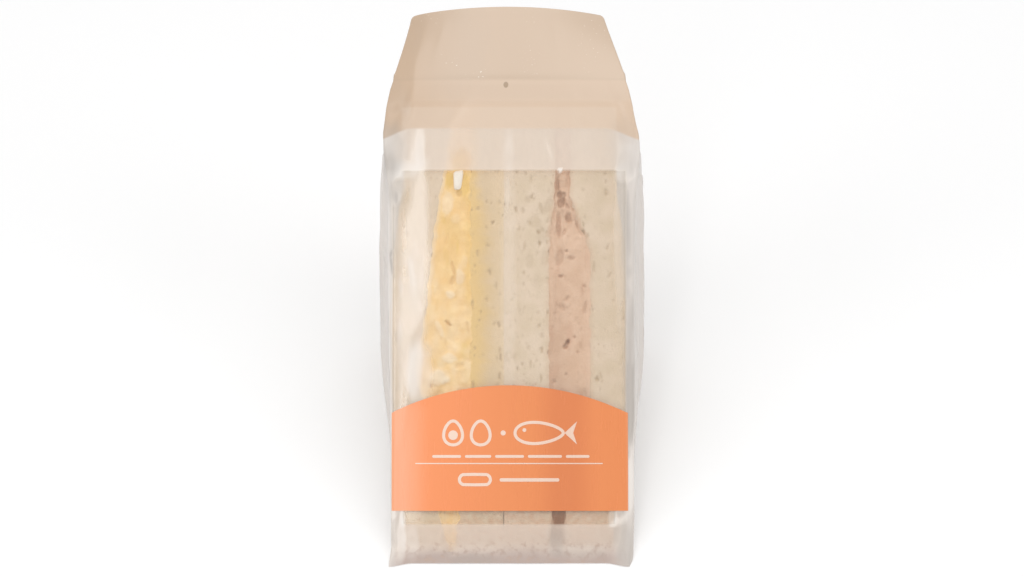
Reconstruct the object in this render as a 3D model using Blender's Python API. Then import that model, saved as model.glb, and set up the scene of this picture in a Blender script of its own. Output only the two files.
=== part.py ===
"""Egg and tuna sandwich in its clear film pack, resting on the bottom leg of its wedge.

Two sandwiches of white bread cut corner to corner stand side by side in one film bag. Their cut
faces look forward and up at 45 degrees through the clear front of the film. The layers run from
left to right: bread, egg salad, bread, bread, tuna salad, bread.

The shapes are worked out in pack coordinates: x runs across the layers, span runs up the cut
face from its front lower edge, and depth runs from the cut face into the pack.
"""

import math

import bmesh
import bpy
from mathutils import Matrix, Vector, noise

MM = 0.001

# The bread, cut from a square slice of this side.
SLICE_SIDE = 100 * MM
CUT_SPAN = SLICE_SIDE * math.sqrt(2)
CORNER_DEPTH = CUT_SPAN / 2
TIP_ROUNDING = 2.5 * MM
CUT_CELLS = 20
FILLING_ACROSS_CELLS = 6

# Thickness of each layer: at the front lower edge, at the middle of the cut, and at the top.
BREAD_LEFT_OUTER = (10.6 * MM, 11.6 * MM, 12.8 * MM)
EGG_SALAD = (5.4 * MM, 13.8 * MM, 6.4 * MM)
BREAD_LEFT_INNER = (13.2 * MM, 9.7 * MM, 8.4 * MM)
BREAD_RIGHT_INNER = (14.6 * MM, 14.1 * MM, 16.3 * MM)
TUNA_SALAD = (4.7 * MM, 13.3 * MM, 4.8 * MM)
BREAD_RIGHT_OUTER = (13.6 * MM, 10.7 * MM, 14.6 * MM)
MEETING_X = -1.6 * MM
SANDWICH_GAP = 0.6 * MM
CLEARANCE = 0.3 * MM

# The egg salad has sunk a little and spread into its outer slice.
SLUMP = 3.0 * MM
SLUMP_SPAN = 57 * MM
SLUMP_REACH = 12 * MM

# Relief of the fillings on the cut face.
EGG_LUMP_DEPTH = 1.6 * MM
EGG_LUMP_SIZE = 11 * MM
TUNA_LUMP_DEPTH = 1.3 * MM
TUNA_LUMP_SIZE = 9 * MM

# The film bag, as the outer form of the pack.
STANDOFF = 1.2 * MM
NOSE_SPAN = -2.4 * MM
NOSE_EAR = 1.4 * MM
BODY_HALF_WIDTH = 37.9 * MM
NOSE_HALF_WIDTH = 37.4 * MM
SHOULDER_HALF_WIDTH = 40.3 * MM
SHOULDER_SPAN = 132 * MM
SHOULDER_START = 108 * MM
BACK_FLARE = 2.2 * MM
SIDE_BULGE = 3.9 * MM
SIDE_TUCK = 4.0 * MM
SIDE_DRIFT = (1.3 * MM, 0.5 * MM, -0.9 * MM)
EDGE_RADIUS = 1.2 * MM
HEEL_RADIUS = 3.0 * MM

# The gable over the sandwich, and the sealed flap that it ends in.
GABLE_START = CUT_SPAN - 16 * MM
FLAP_ROOT = CUT_SPAN + 9.6 * MM
FLAP_TOP = CUT_SPAN + 30.6 * MM
FLAP_HALF_WIDTH = 29.8 * MM
FLAP_THICKNESS = 1.2 * MM
FLAP_LEAN = math.radians(9)
FLAP_SWEEP = 7 * MM
FLAP_ARCH = 2.3 * MM
TAPER_POWER = 1.5

# The lapped seam up the middle of the back.
SEAM_HALF_WIDTH = 5 * MM
SEAM_HEIGHT = 0.6 * MM
SEAM_STEP = 0.4 * MM
SEAM_START = 80 * MM

# The clear window in the front, and the printed label across its lower part.
WINDOW_LOW = 9.6 * MM
WINDOW_HIGH = 120 * MM
WINDOW_HALF_WIDTH = 36.4 * MM
LABEL_LOW = 13.8 * MM
LABEL_SIDE_TOP = 44.2 * MM
LABEL_MIDDLE_TOP = 52.8 * MM
LABEL_THICKNESS = 0.6 * MM
LABEL_ARC_STEPS = 16

BREAD_COLOUR = (0.80, 0.70, 0.56)
EGG_COLOUR = (0.92, 0.62, 0.20)
TUNA_COLOUR = (0.68, 0.42, 0.28)
FILM_COLOUR = (0.82, 0.74, 0.66)
LABEL_COLOUR = (0.93, 0.28, 0.09)


def smooth(low, high, value):
    """0 below low, 1 above high, and a smooth rise between them."""
    share = min(1.0, max(0.0, (value - low) / (high - low)))
    return share * share * (3 - 2 * share)


def world_point(x, span, depth):
    """The point of the room that pack coordinates name, before the pack is centred."""
    half_turn = math.sqrt(0.5)
    return Vector((x, (span + depth) * half_turn, (span - depth) * half_turn + STANDOFF))


# Layers of the sandwich


def fullness(span, depth):
    """How far a point is from both crust sides: 0 on a side, 1 at the middle of the cut."""
    to_bottom = span - depth
    to_back = CUT_SPAN - span - depth
    return max(0.0, 4 * to_bottom * to_back / CUT_SPAN**2)


def egg_heap(span, depth):
    """Share of the egg salad's extra thickness at a point."""
    return fullness(span, depth) ** 2


def tuna_heap(span, depth):
    """Share of the tuna salad's extra thickness, which is heaped nearer the middle."""
    return smooth(0.62, 0.93, fullness(span, depth))


def thickness(layer, heap, span):
    """Thickness of a layer at one span, where its filling is heaped by this share."""
    at_bottom, at_middle, at_top = layer
    at_side = at_bottom + (at_top - at_bottom) * span / CUT_SPAN
    return at_side + (at_middle - at_side) * heap


def left_faces(span, depth):
    """The x of the left sandwich's faces, from the meeting of the sandwiches outwards."""
    heap = egg_heap(span, depth)
    faces = [MEETING_X - SANDWICH_GAP / 2]
    for layer in (BREAD_LEFT_INNER, EGG_SALAD, BREAD_LEFT_OUTER):
        faces.append(faces[-1] - thickness(layer, heap, span))
    faces[2] -= SLUMP * heap * math.exp(-(((span - SLUMP_SPAN) / SLUMP_REACH) ** 2))
    return faces


def right_faces(span, depth):
    """The x of the right sandwich's faces, from the meeting of the sandwiches outwards."""
    heap = tuna_heap(span, depth)
    faces = [MEETING_X + SANDWICH_GAP / 2]
    for layer in (BREAD_RIGHT_INNER, TUNA_SALAD, BREAD_RIGHT_OUTER):
        faces.append(faces[-1] + thickness(layer, heap, span))
    return faces


def layer_between(faces, inner, outer):
    """A function giving the low and high x of one layer at a point, clear of its neighbours."""

    def limits(span, depth):
        at = faces(span, depth)
        low, high = sorted((at[inner], at[outer]))
        return low + CLEARANCE / 2, high - CLEARANCE / 2

    return limits


def whole_stack(span, depth):
    """The low and high x of the pocket that holds both sandwiches."""
    return left_faces(span, depth)[-1] - CLEARANCE, right_faces(span, depth)[-1] + CLEARANCE


def wedge_corners(outset):
    """Span and depth of the slice's three corners, with each side moved out by outset."""
    tip = outset * (1 + math.sqrt(2))
    heel = CORNER_DEPTH + outset * math.sqrt(2)
    return [(-tip, -outset), (CUT_SPAN + tip, -outset), (CORNER_DEPTH, heel)]


def cut_into_cells(shape, across, low, high, cells):
    """Cuts a bmesh by evenly spaced planes across one direction, keeping both sides."""
    for step in range(1, cells):
        place = across * (low + (high - low) * step / cells) / across.length_squared
        everything = shape.verts[:] + shape.edges[:] + shape.faces[:]
        bmesh.ops.bisect_plane(shape, geom=everything, plane_co=place, plane_no=across, dist=1e-6)


def wedge_blank(outset, rounding, across_cells):
    """A wedge one unit thick in x, with y as span and z as depth.

    Planes along both legs and along the cut divide its broad sides into three-cornered cells,
    so that neighbouring layers bend along the same lines.
    """
    shape = bmesh.new()
    corners = [shape.verts.new((0, span, depth)) for span, depth in wedge_corners(outset)]
    face = shape.faces.new(corners)
    pushed = bmesh.ops.extrude_face_region(shape, geom=[face])
    far_side = [item for item in pushed["geom"] if isinstance(item, bmesh.types.BMVert)]
    bmesh.ops.translate(shape, verts=far_side, vec=(1, 0, 0))
    if rounding:
        along_x = [edge for edge in shape.edges if abs(edge.verts[0].co.x - edge.verts[1].co.x) > 0.5]
        bmesh.ops.bevel(
            shape, geom=along_x, offset=rounding, segments=2, profile=0.5, affect="EDGES", material=-1
        )
    cut_into_cells(shape, Vector((0, 1, -1)), 0, CUT_SPAN, CUT_CELLS)
    cut_into_cells(shape, Vector((0, 1, 1)), 0, CUT_SPAN, CUT_CELLS)
    cut_into_cells(shape, Vector((0, 0, 1)), 0, CORNER_DEPTH, CUT_CELLS)
    cut_into_cells(shape, Vector((1, 0, 0)), 0, 1, across_cells)
    bmesh.ops.triangulate(shape, faces=shape.faces[:])
    return shape


def object_from(name, shape):
    """Turns a bmesh into a linked object whose faces all look outwards."""
    shape.normal_update()
    bmesh.ops.recalc_face_normals(shape, faces=shape.faces[:])
    mesh = bpy.data.meshes.new(name)
    shape.to_mesh(mesh)
    shape.free()
    made = bpy.data.objects.new(name, mesh)
    bpy.context.scene.collection.objects.link(made)
    return made


def layer_solid(name, limits, relief=None, outset=0.0, rounding=TIP_ROUNDING):
    """One layer of a sandwich: a wedge whose two broad faces follow limits(span, depth)."""
    shape = wedge_blank(outset, rounding, FILLING_ACROSS_CELLS if relief else 1)
    for vert in shape.verts:
        share, span, depth = vert.co
        low, high = limits(span, depth)
        x = low + (high - low) * share
        recess = relief(x, span, share) if relief and depth < 1e-6 else 0.0
        vert.co = world_point(x, span, depth + recess)
    return object_from(name, shape)


def egg_relief(x, span, share):
    """How deep the egg salad's surface lies behind the cut, in soft lumps."""
    lump = noise.noise(Vector((x, span, 0)) / EGG_LUMP_SIZE)
    return EGG_LUMP_DEPTH * (0.5 + 0.5 * lump) * math.sin(math.pi * share) ** 0.5


def tuna_relief(x, span, share):
    """How deep the tuna salad's flaky surface lies behind the cut."""
    flake = noise.noise(Vector((x, span, 3 * MM)) / TUNA_LUMP_SIZE)
    return TUNA_LUMP_DEPTH * (0.5 + 0.5 * flake) * math.sin(math.pi * share) ** 0.5


# The film bag


def half_width_in_front(span):
    """Half the width of the film's front, which swells at the shoulder and tapers up the flap."""
    if span > SHOULDER_SPAN:
        share = (span - SHOULDER_SPAN) / (FLAP_TOP - SHOULDER_SPAN)
        return SHOULDER_HALF_WIDTH - (SHOULDER_HALF_WIDTH - FLAP_HALF_WIDTH) * share**TAPER_POWER
    nose = (BODY_HALF_WIDTH - NOSE_HALF_WIDTH) * (1 - smooth(NOSE_SPAN, 12 * MM, span))
    shoulder = (SHOULDER_HALF_WIDTH - BODY_HALF_WIDTH) * smooth(SHOULDER_START, SHOULDER_SPAN, span)
    return BODY_HALF_WIDTH - nose + shoulder


def half_width_behind(span):
    """Half the width of the film's back, which flares towards the heel of the wedge."""
    flare = smooth(NOSE_SPAN, CORNER_DEPTH, span) * (1 - smooth(CORNER_DEPTH, SHOULDER_SPAN, span))
    return half_width_in_front(span) + BACK_FLARE * flare


def side_swell(span):
    """How far the film's side stands out at mid depth, or tucks in (negative) under the flap."""
    swell = SIDE_BULGE * smooth(28 * MM, 68 * MM, span) * (1 - smooth(108 * MM, 138 * MM, span))
    inside_gable = (span - GABLE_START) / (FLAP_ROOT - GABLE_START)
    tuck = SIDE_TUCK * math.sin(math.pi * min(1.0, max(0.0, inside_gable)))
    return swell - tuck


def front_depth(span):
    """Depth of the film's front: flat over the cut face, and leaning back up the flap."""
    beyond = max(0.0, span - CUT_SPAN)
    return -STANDOFF + beyond * math.tan(FLAP_LEAN)


def back_depth(span):
    """Depth of the film's back: the bottom leg, the heel, the back leg, the gable and the flap."""
    outset = STANDOFF * math.sqrt(2)
    if span < CORNER_DEPTH - HEEL_RADIUS:
        return span + outset
    if span < CORNER_DEPTH + HEEL_RADIUS:
        aside = span - CORNER_DEPTH
        return CORNER_DEPTH + outset - HEEL_RADIUS / 2 - aside**2 / (2 * HEEL_RADIUS)
    if span < GABLE_START:
        return CUT_SPAN + outset - span
    root = front_depth(FLAP_ROOT) + FLAP_THICKNESS
    start = CUT_SPAN + outset - GABLE_START
    if span < FLAP_ROOT:
        share = (span - GABLE_START) / (FLAP_ROOT - GABLE_START)
        return start + (root - start) * share
    return front_depth(span) + FLAP_THICKNESS


def evenly(low, high, steps):
    """Evenly spaced values from low up to but not including high."""
    return [low + (high - low) * step / steps for step in range(steps)]


def film_stations():
    """The spans at which the film's outline is drawn, closer where its form turns."""
    return [
        *evenly(NOSE_SPAN, WINDOW_LOW, 4),
        *evenly(WINDOW_LOW, CORNER_DEPTH - HEEL_RADIUS, 7),
        *evenly(CORNER_DEPTH - HEEL_RADIUS, CORNER_DEPTH + HEEL_RADIUS, 4),
        *evenly(CORNER_DEPTH + HEEL_RADIUS, SHOULDER_START, 4),
        *evenly(SHOULDER_START, GABLE_START, 3),
        *evenly(GABLE_START, FLAP_ROOT, 8),
        *evenly(FLAP_ROOT, FLAP_TOP, 5),
        FLAP_TOP,
    ]


def arc(centre_x, centre_depth, radius, start_degrees, steps=3):
    """Points of a quarter circle that rounds one edge of the film's outline."""
    angles = [math.radians(start_degrees + 90 * step / steps) for step in range(steps + 1)]
    return [(centre_x + radius * math.cos(a), centre_depth + radius * math.sin(a)) for a in angles]


def straight(start, end, steps):
    """The points strictly between two ends of a straight side."""
    shares = [step / steps for step in range(1, steps)]
    return [(start[0] + (end[0] - start[0]) * t, start[1] + (end[1] - start[1]) * t) for t in shares]


def back_side(half_width, depth, span):
    """The points along the back, with the lapped seam standing out of its middle."""
    lift = SEAM_HEIGHT if SEAM_START < span < FLAP_ROOT else 0.0
    flat = [half_width * share for share in (0.7, 0.4)]
    across = [*flat, SEAM_HALF_WIDTH + SEAM_STEP]
    right = [(x, depth) for x in across] + [(SEAM_HALF_WIDTH, depth + lift)]
    return right + [(-x, d) for x, d in reversed(right)]


def film_outline(span):
    """The film's closed outline at one span, as (x, depth) going round from the front left."""
    front, back = front_depth(span), back_depth(span)
    wide_front, wide_back = half_width_in_front(span), half_width_behind(span)
    radius = min(EDGE_RADIUS, (back - front) * 0.4)
    front_left = arc(radius - wide_front, front + radius, radius, 180)
    front_right = arc(wide_front - radius, front + radius, radius, 270)
    back_right = arc(wide_back - radius, back - radius, radius, 0)
    back_left = arc(radius - wide_back, back - radius, radius, 90)
    right_side = straight(front_right[-1], back_right[0], 6)
    left_side = straight(back_left[-1], front_left[0], 6)
    points = [
        *front_left,
        *straight(front_left[-1], front_right[0], 8),
        *front_right,
        *right_side,
        *back_right,
        *back_side(wide_back - radius, back, span),
        *back_left,
        *left_side,
    ]
    swell = side_swell(span)
    swollen = []
    for x, depth in points:
        share = (depth - front) / (back - front)
        at_side = smooth(0.75, 0.98, abs(x) / wide_front)
        at_side *= math.sin(math.pi * min(1.0, max(0.0, share)))
        swollen.append((x + (swell if x > 0 else -swell) * at_side, depth))
    return swollen


def film_point(x, span, depth):
    """Places one point of the film, with the flap's ends swept back and lowered."""
    aside = min(1.2, abs(x) / half_width_in_front(span))
    up_flap = smooth(CUT_SPAN, FLAP_TOP, span)
    low, middle, high = SIDE_DRIFT
    drift = low + (middle - low) * smooth(0, 100 * MM, span) + (high - middle) * up_flap
    off_front = smooth(0, EDGE_RADIUS, depth - front_depth(span))
    x += drift * max(up_flap, off_front)
    swept = depth + FLAP_SWEEP * up_flap * aside**2
    lowered = span - FLAP_ARCH * up_flap * aside**2
    ear = NOSE_EAR * smooth(0.8, 1.0, aside) * (1 - smooth(NOSE_SPAN, 6 * MM, span))
    forward = Vector((0, -ear, 0))
    return world_point(x, lowered, swept) + forward


def film_form():
    """The pack's outer form, lofted through the film's outlines from the nose to the flap."""
    shape = bmesh.new()
    rings = []
    for span in film_stations():
        points = [film_point(x, span, depth) for x, depth in film_outline(span)]
        rings.append([shape.verts.new(point) for point in points])
    count = len(rings[0])
    for lower, upper in zip(rings, rings[1:]):
        for place in range(count):
            after = (place + 1) % count
            shape.faces.new((lower[place], lower[after], upper[after], upper[place]))
    shape.faces.new(list(reversed(rings[0])))
    shape.faces.new(rings[-1])
    bmesh.ops.triangulate(shape, faces=shape.faces[:])
    return object_from("film_bag", shape)


def window_cutter():
    """A block through the film's front where the film is clear."""
    shape = bmesh.new()
    bmesh.ops.create_cube(shape, size=1)
    for vert in shape.verts:
        x = vert.co.x * 2 * WINDOW_HALF_WIDTH
        span = WINDOW_LOW + (WINDOW_HIGH - WINDOW_LOW) * (vert.co.y + 0.5)
        depth = -5 * STANDOFF * (0.5 - vert.co.z)
        vert.co = world_point(x, span, depth)
    return object_from("window_cutter", shape)


def cut_away(target, cutter):
    """Takes the cutter's space out of the target, and hides the cutter."""
    modifier = target.modifiers.new(cutter.name, "BOOLEAN")
    modifier.operation = "DIFFERENCE"
    modifier.solver = "EXACT"
    modifier.object = cutter
    cutter.hide_render = True
    cutter.display_type = "WIRE"


def film_bag():
    """The film bag: the pack's form, with a pocket for the sandwiches and the clear front open."""
    bag = film_form()
    cut_away(bag, layer_solid("pocket_cutter", whole_stack, outset=CLEARANCE, rounding=0))
    cut_away(bag, window_cutter())
    return bag


def label_top(x):
    """The span of the label's arched top at one x, on a circle through its corners and crown."""
    half, rise = WINDOW_HALF_WIDTH, LABEL_MIDDLE_TOP - LABEL_SIDE_TOP
    radius = (half**2 + rise**2) / (2 * rise)
    return LABEL_MIDDLE_TOP - radius + math.sqrt(radius**2 - x**2)


def front_label():
    """The printed band across the window, a thin plate flush with the film's front."""
    half = WINDOW_HALF_WIDTH - CLEARANCE
    across = [half - 2 * half * step / LABEL_ARC_STEPS for step in range(LABEL_ARC_STEPS + 1)]
    outline = [(-half, LABEL_LOW), (half, LABEL_LOW)] + [(x, label_top(x)) for x in across]
    shape = bmesh.new()
    face = shape.faces.new([shape.verts.new(world_point(x, span, -STANDOFF)) for x, span in outline])
    pushed = bmesh.ops.extrude_face_region(shape, geom=[face])
    far_side = [item for item in pushed["geom"] if isinstance(item, bmesh.types.BMVert)]
    inwards = world_point(0, 0, LABEL_THICKNESS) - world_point(0, 0, 0)
    bmesh.ops.translate(shape, verts=far_side, vec=inwards)
    return object_from("front_label", shape)


# Finishing


def material(name, colour, roughness):
    """A Principled material with one base colour."""
    made = bpy.data.materials.new(name)
    made.use_nodes = True
    shader = made.node_tree.nodes["Principled BSDF"]
    shader.inputs["Base Color"].default_value = (*colour, 1)
    shader.inputs["Roughness"].default_value = roughness
    shader.inputs["Metallic"].default_value = 0
    made.diffuse_color = (*colour, 1)
    return made


def dress(things, finish):
    """Gives each object the material and rounded shading."""
    for thing in things:
        thing.data.materials.append(finish)
        thing.data.shade_smooth()
        thing.data.set_sharp_from_angle(angle=math.radians(35))


def centre_on_floor(things):
    """Moves every object so that the pack's box stands on the origin by its bottom centre."""
    bpy.context.view_layer.update()
    outside = [vert.co for thing in things if not thing.hide_render for vert in thing.data.vertices]
    low = Vector(min(point[axis] for point in outside) for axis in range(3))
    high = Vector(max(point[axis] for point in outside) for axis in range(3))
    shift = Matrix.Translation(-Vector(((low.x + high.x) / 2, (low.y + high.y) / 2, low.z)))
    for thing in things:
        thing.data.transform(shift)


def main():
    for old in list(bpy.data.objects):
        bpy.data.objects.remove(old)
    bread = [
        layer_solid("bread_left_outer", layer_between(left_faces, 2, 3)),
        layer_solid("bread_left_inner", layer_between(left_faces, 0, 1)),
        layer_solid("bread_right_inner", layer_between(right_faces, 0, 1)),
        layer_solid("bread_right_outer", layer_between(right_faces, 2, 3)),
    ]
    egg = layer_solid("egg_salad", layer_between(left_faces, 1, 2), egg_relief)
    tuna = layer_solid("tuna_salad", layer_between(right_faces, 1, 2), tuna_relief)
    bag = film_bag()
    label = front_label()
    dress(bread, material("white_bread", BREAD_COLOUR, 0.9))
    dress([egg], material("egg_salad", EGG_COLOUR, 0.5))
    dress([tuna], material("tuna_salad", TUNA_COLOUR, 0.6))
    dress([bag], material("printed_film", FILM_COLOUR, 0.35))
    dress([label], material("orange_print", LABEL_COLOUR, 0.35))
    centre_on_floor(list(bpy.data.objects))


main()
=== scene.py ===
"""Looks for the egg and tuna sandwich in its film pack.

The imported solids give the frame. The film bag becomes thin printed film with a clear front, the
label becomes print with plain pale marks, and the bread and fillings get their crumb, lumps and
flakes. Shapes are worked out in pack coordinates: x runs across the layers, span runs up the cut
face from its front lower edge, and depth runs from the cut face into the pack.
"""

import logging
import math
from dataclasses import dataclass, field
from enum import Enum, IntEnum

import bmesh
import bpy
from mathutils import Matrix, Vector, noise


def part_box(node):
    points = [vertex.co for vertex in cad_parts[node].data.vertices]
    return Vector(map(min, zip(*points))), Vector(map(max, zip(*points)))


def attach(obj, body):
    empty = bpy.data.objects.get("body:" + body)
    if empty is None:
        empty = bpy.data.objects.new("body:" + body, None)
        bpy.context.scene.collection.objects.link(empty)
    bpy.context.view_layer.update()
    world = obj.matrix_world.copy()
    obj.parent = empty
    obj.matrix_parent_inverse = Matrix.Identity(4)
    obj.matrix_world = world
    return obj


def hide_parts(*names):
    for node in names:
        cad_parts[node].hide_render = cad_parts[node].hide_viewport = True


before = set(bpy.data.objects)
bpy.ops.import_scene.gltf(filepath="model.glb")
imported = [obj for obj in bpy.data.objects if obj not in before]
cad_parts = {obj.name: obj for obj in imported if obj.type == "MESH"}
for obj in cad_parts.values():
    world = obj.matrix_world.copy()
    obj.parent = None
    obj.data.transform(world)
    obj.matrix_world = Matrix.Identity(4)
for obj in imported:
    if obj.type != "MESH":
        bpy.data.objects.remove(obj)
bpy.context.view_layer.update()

MM = 0.001
UV_UNIT = 0.1
SHARP_ANGLE = 75
CUT_TILT = math.radians(-45)
PORES_PER_METRE = (760, 430, 600)
ROOT_HALF = math.sqrt(0.5)
LOG = logging.getLogger("sandwich_pack")


def smooth(low: float, high: float, value: float) -> float:
    """0 below low, 1 above high, and a smooth rise between them."""
    share = min(1.0, max(0.0, (value - low) / (high - low)))
    return share * share * (3 - 2 * share)


def mix(first: float, second: float, share: float) -> float:
    """The value between first and second at this share of the way."""
    return first + (second - first) * share


def hump(distance: float, width: float) -> float:
    """1 at no distance, falling softly to nothing over about twice the width."""
    return math.exp(-((distance / width) ** 2))


def soft_ramp(value: float, softness: float) -> float:
    """The value where it is positive and 0 where it is negative, with a soft corner."""
    return 0.5 * (value + math.sqrt(value * value + softness * softness))


def plateau(ends: tuple, value: float) -> float:
    """1 between the second and third of four places, falling smoothly to 0 at the outer two."""
    return smooth(ends[0], ends[1], value) * (1 - smooth(ends[2], ends[3], value))


def slope_between(ends: tuple, place: float, softness: float) -> float:
    """How much of the way between two ends lies past a place, with soft corners."""
    return soft_ramp(ends[1] - place, softness) - soft_ramp(ends[0] - place, softness)


def between(rows: tuple, place: float) -> float:
    """The value at a place, along straight lines through rows of place and value.

    Args:
        rows: pairs of place and value, by rising place.
        place: where to read.

    Returns:
        The value there, the nearest end's beyond the rows.
    """
    if place <= rows[0][0]:
        return rows[0][1]
    for (low, first), (high, second) in zip(rows, rows[1:]):
        if place <= high:
            return mix(first, second, (place - low) / (high - low))
    return rows[-1][1]


def evenly(low: float, high: float, steps: int) -> list[float]:
    """Evenly spaced values from low up to but not including high."""
    return [low + (high - low) * step / steps for step in range(steps)]


class Slot(Enum):
    """The record's material slots."""

    FILM = "printed_film"
    LABEL = "orange_print"
    BREAD = "white_bread"
    EGG = "egg_salad"
    TUNA = "tuna_salad"


class Side(IntEnum):
    """The sandwich of a layer, as its direction along x from where the two sandwiches meet."""

    LEFT = -1
    RIGHT = 1


class Place(IntEnum):
    """A layer's place outwards from where the two sandwiches meet."""

    INNER = 0
    FILLING = 1
    OUTER = 2


# Meshes


@dataclass
class PackFrame:
    """Where the pack's own coordinates lie in the room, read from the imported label."""

    slice_side: float = 100 * MM
    standoff: float = 1.2 * MM
    label_low: float = 13.8 * MM
    shift: Vector = field(init=False)
    cut_span: float = field(init=False)
    corner_depth: float = field(init=False)

    def __post_init__(self) -> None:
        """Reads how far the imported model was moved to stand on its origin."""
        low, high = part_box("front_label")
        front = (self.label_low - self.standoff) * ROOT_HALF
        self.shift = Vector(((low.x + high.x) / 2, low.y - front, 0))
        self.cut_span = self.slice_side * math.sqrt(2)
        self.corner_depth = self.cut_span / 2

    def point(self, x: float, span: float, depth: float) -> Vector:
        """The room's point for pack coordinates.

        Args:
            x: place across the layers.
            span: place up the cut face.
            depth: place behind the cut face.

        Returns:
            The point in the row frame, in metres.
        """
        y = (span + depth) * ROOT_HALF
        z = (span - depth) * ROOT_HALF + self.standoff
        return Vector((x, y, z)) + self.shift


PACK = PackFrame()


def finished(name: str, shape: bmesh.types.BMesh, finish: bpy.types.Material) -> bpy.types.Object:
    """Turns a mesh into a named piece of the object.

    Args:
        name: the piece's name.
        shape: its mesh, in the row frame.
        finish: its material.

    Returns:
        The linked object, smooth-shaded and riding on the pack's one body.
    """
    shape.normal_update()
    bmesh.ops.recalc_face_normals(shape, faces=shape.faces[:])
    mesh = bpy.data.meshes.new(name)
    shape.to_mesh(mesh)
    shape.free()
    mesh.materials.append(finish)
    mesh.shade_smooth()
    mesh.set_sharp_from_angle(angle=math.radians(SHARP_ANGLE))
    piece = bpy.data.objects.new(name, mesh)
    bpy.context.scene.collection.objects.link(piece)
    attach(piece, "root")
    return piece


def new_grid(columns: int, rows: int) -> bmesh.types.BMesh:
    """A flat grid of one unit each way, centred on the origin.

    Args:
        columns: cells along x.
        rows: cells along y.

    Returns:
        The grid's mesh.
    """
    shape = bmesh.new()
    bmesh.ops.create_grid(shape, x_segments=columns, y_segments=rows, size=0.5)
    return shape


def pushed_out(shape: bmesh.types.BMesh, faces: list, offset: tuple, keep: bool) -> list:
    """Extrudes faces and moves the new ones.

    Args:
        shape: the mesh.
        faces: the faces to extrude.
        offset: how far the new faces move.
        keep: whether the first faces stay, to close the solid.

    Returns:
        The new faces.
    """
    made = bmesh.ops.extrude_face_region(shape, geom=faces, use_keep_orig=True)["geom"]
    moved = [item for item in made if isinstance(item, bmesh.types.BMVert)]
    bmesh.ops.translate(shape, verts=moved, vec=offset)
    if not keep:
        bmesh.ops.delete(shape, geom=faces, context="FACES_ONLY")
    return [item for item in made if isinstance(item, bmesh.types.BMFace)]


def cut_finely(shape: bmesh.types.BMesh, step: float, reach: float) -> None:
    """Cuts a flat mesh into small cells, so that it can follow a curved sheet.

    Args:
        shape: the mesh, flat in x and y.
        step: the size of a cell.
        reach: the farthest cut from the origin.
    """
    for across in (Vector((1, 0, 0)), Vector((0, 1, 0))):
        for number in range(-int(reach / step), int(reach / step) + 1):
            everything = shape.verts[:] + shape.edges[:] + shape.faces[:]
            place = across * (number * step + 0.01)
            bmesh.ops.bisect_plane(shape, geom=everything, plane_co=place, plane_no=across, dist=1e-5)


# Materials


class Bench:
    """Adds and joins the nodes of one node tree."""

    def __init__(self, tree: bpy.types.NodeTree) -> None:
        """Starts on an empty tree."""
        self.tree = tree
        tree.nodes.clear()

    def add(self, kind: str, inputs: dict | None = None, **settings: object) -> bpy.types.Node:
        """Adds one node.

        Args:
            kind: the node's type name.
            inputs: value or output socket for each input, by name or number.
            settings: the node's own properties.

        Returns:
            The new node.
        """
        node = self.tree.nodes.new(kind)
        for key, value in settings.items():
            setattr(node, key, value)
        for key, value in (inputs or {}).items():
            if isinstance(value, bpy.types.NodeSocket):
                self.tree.links.new(value, node.inputs[key])
            else:
                node.inputs[key].default_value = value
        return node

    def math(self, operation: str, *values: object) -> bpy.types.NodeSocket:
        """The result of a Math node on these values or sockets."""
        node = self.add("ShaderNodeMath", dict(enumerate(values)), operation=operation)
        return node.outputs[0]

    def times(self, *values: object) -> bpy.types.NodeSocket:
        """The product of all these values or sockets.

        Args:
            values: numbers or output sockets.

        Returns:
            The product's socket.
        """
        product = values[0]
        for value in values[1:]:
            product = self.math("MULTIPLY", product, value)
        return product

    def rise(self, value: object, low: float, high: float) -> bpy.types.NodeSocket:
        """A smooth mask that rises from 0 at low to 1 at high, or falls if low is the larger.

        Args:
            value: the number or socket that decides.
            low: where the mask is 0.
            high: where the mask is 1.

        Returns:
            The mask's socket.
        """
        ends = (low, high, 0.0, 1.0) if low < high else (high, low, 1.0, 0.0)
        names = ("From Min", "From Max", "To Min", "To Max")
        inputs = {"Value": value, **dict(zip(names, ends))}
        node = self.add("ShaderNodeMapRange", inputs, interpolation_type="SMOOTHSTEP")
        return node.outputs[0]

    def blend(self, share: object, first: object, second: object) -> bpy.types.NodeSocket:
        """The colour mixed from first and second by share.

        Args:
            share: how much of the second colour.
            first: a colour or socket.
            second: a colour or socket.

        Returns:
            The mixed colour's socket.
        """
        node = self.add("ShaderNodeMix", data_type="RGBA")
        for place, value in ((0, share), (6, first), (7, second)):
            if isinstance(value, bpy.types.NodeSocket):
                self.tree.links.new(value, node.inputs[place])
            else:
                node.inputs[place].default_value = value
        return node.outputs[2]

    def noise(self, where: object, scale: object, detail: float = 3.0) -> bpy.types.NodeSocket:
        """A noise pattern's value at these coordinates."""
        inputs = {"Vector": where, "Scale": scale, "Detail": detail}
        return self.add("ShaderNodeTexNoise", inputs).outputs[0]

    def attribute(self, name: str) -> bpy.types.NodeSocket:
        """The value of a mesh attribute."""
        return self.add("ShaderNodeAttribute", attribute_name=name).outputs["Fac"]


def new_material(name: str) -> tuple[bpy.types.Material, Bench]:
    """A new material, and the bench for its empty node tree.

    Args:
        name: the material's name.

    Returns:
        The material and its bench.
    """
    made = bpy.data.materials.new(name)
    made.use_nodes = True
    return made, Bench(made.node_tree)


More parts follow.
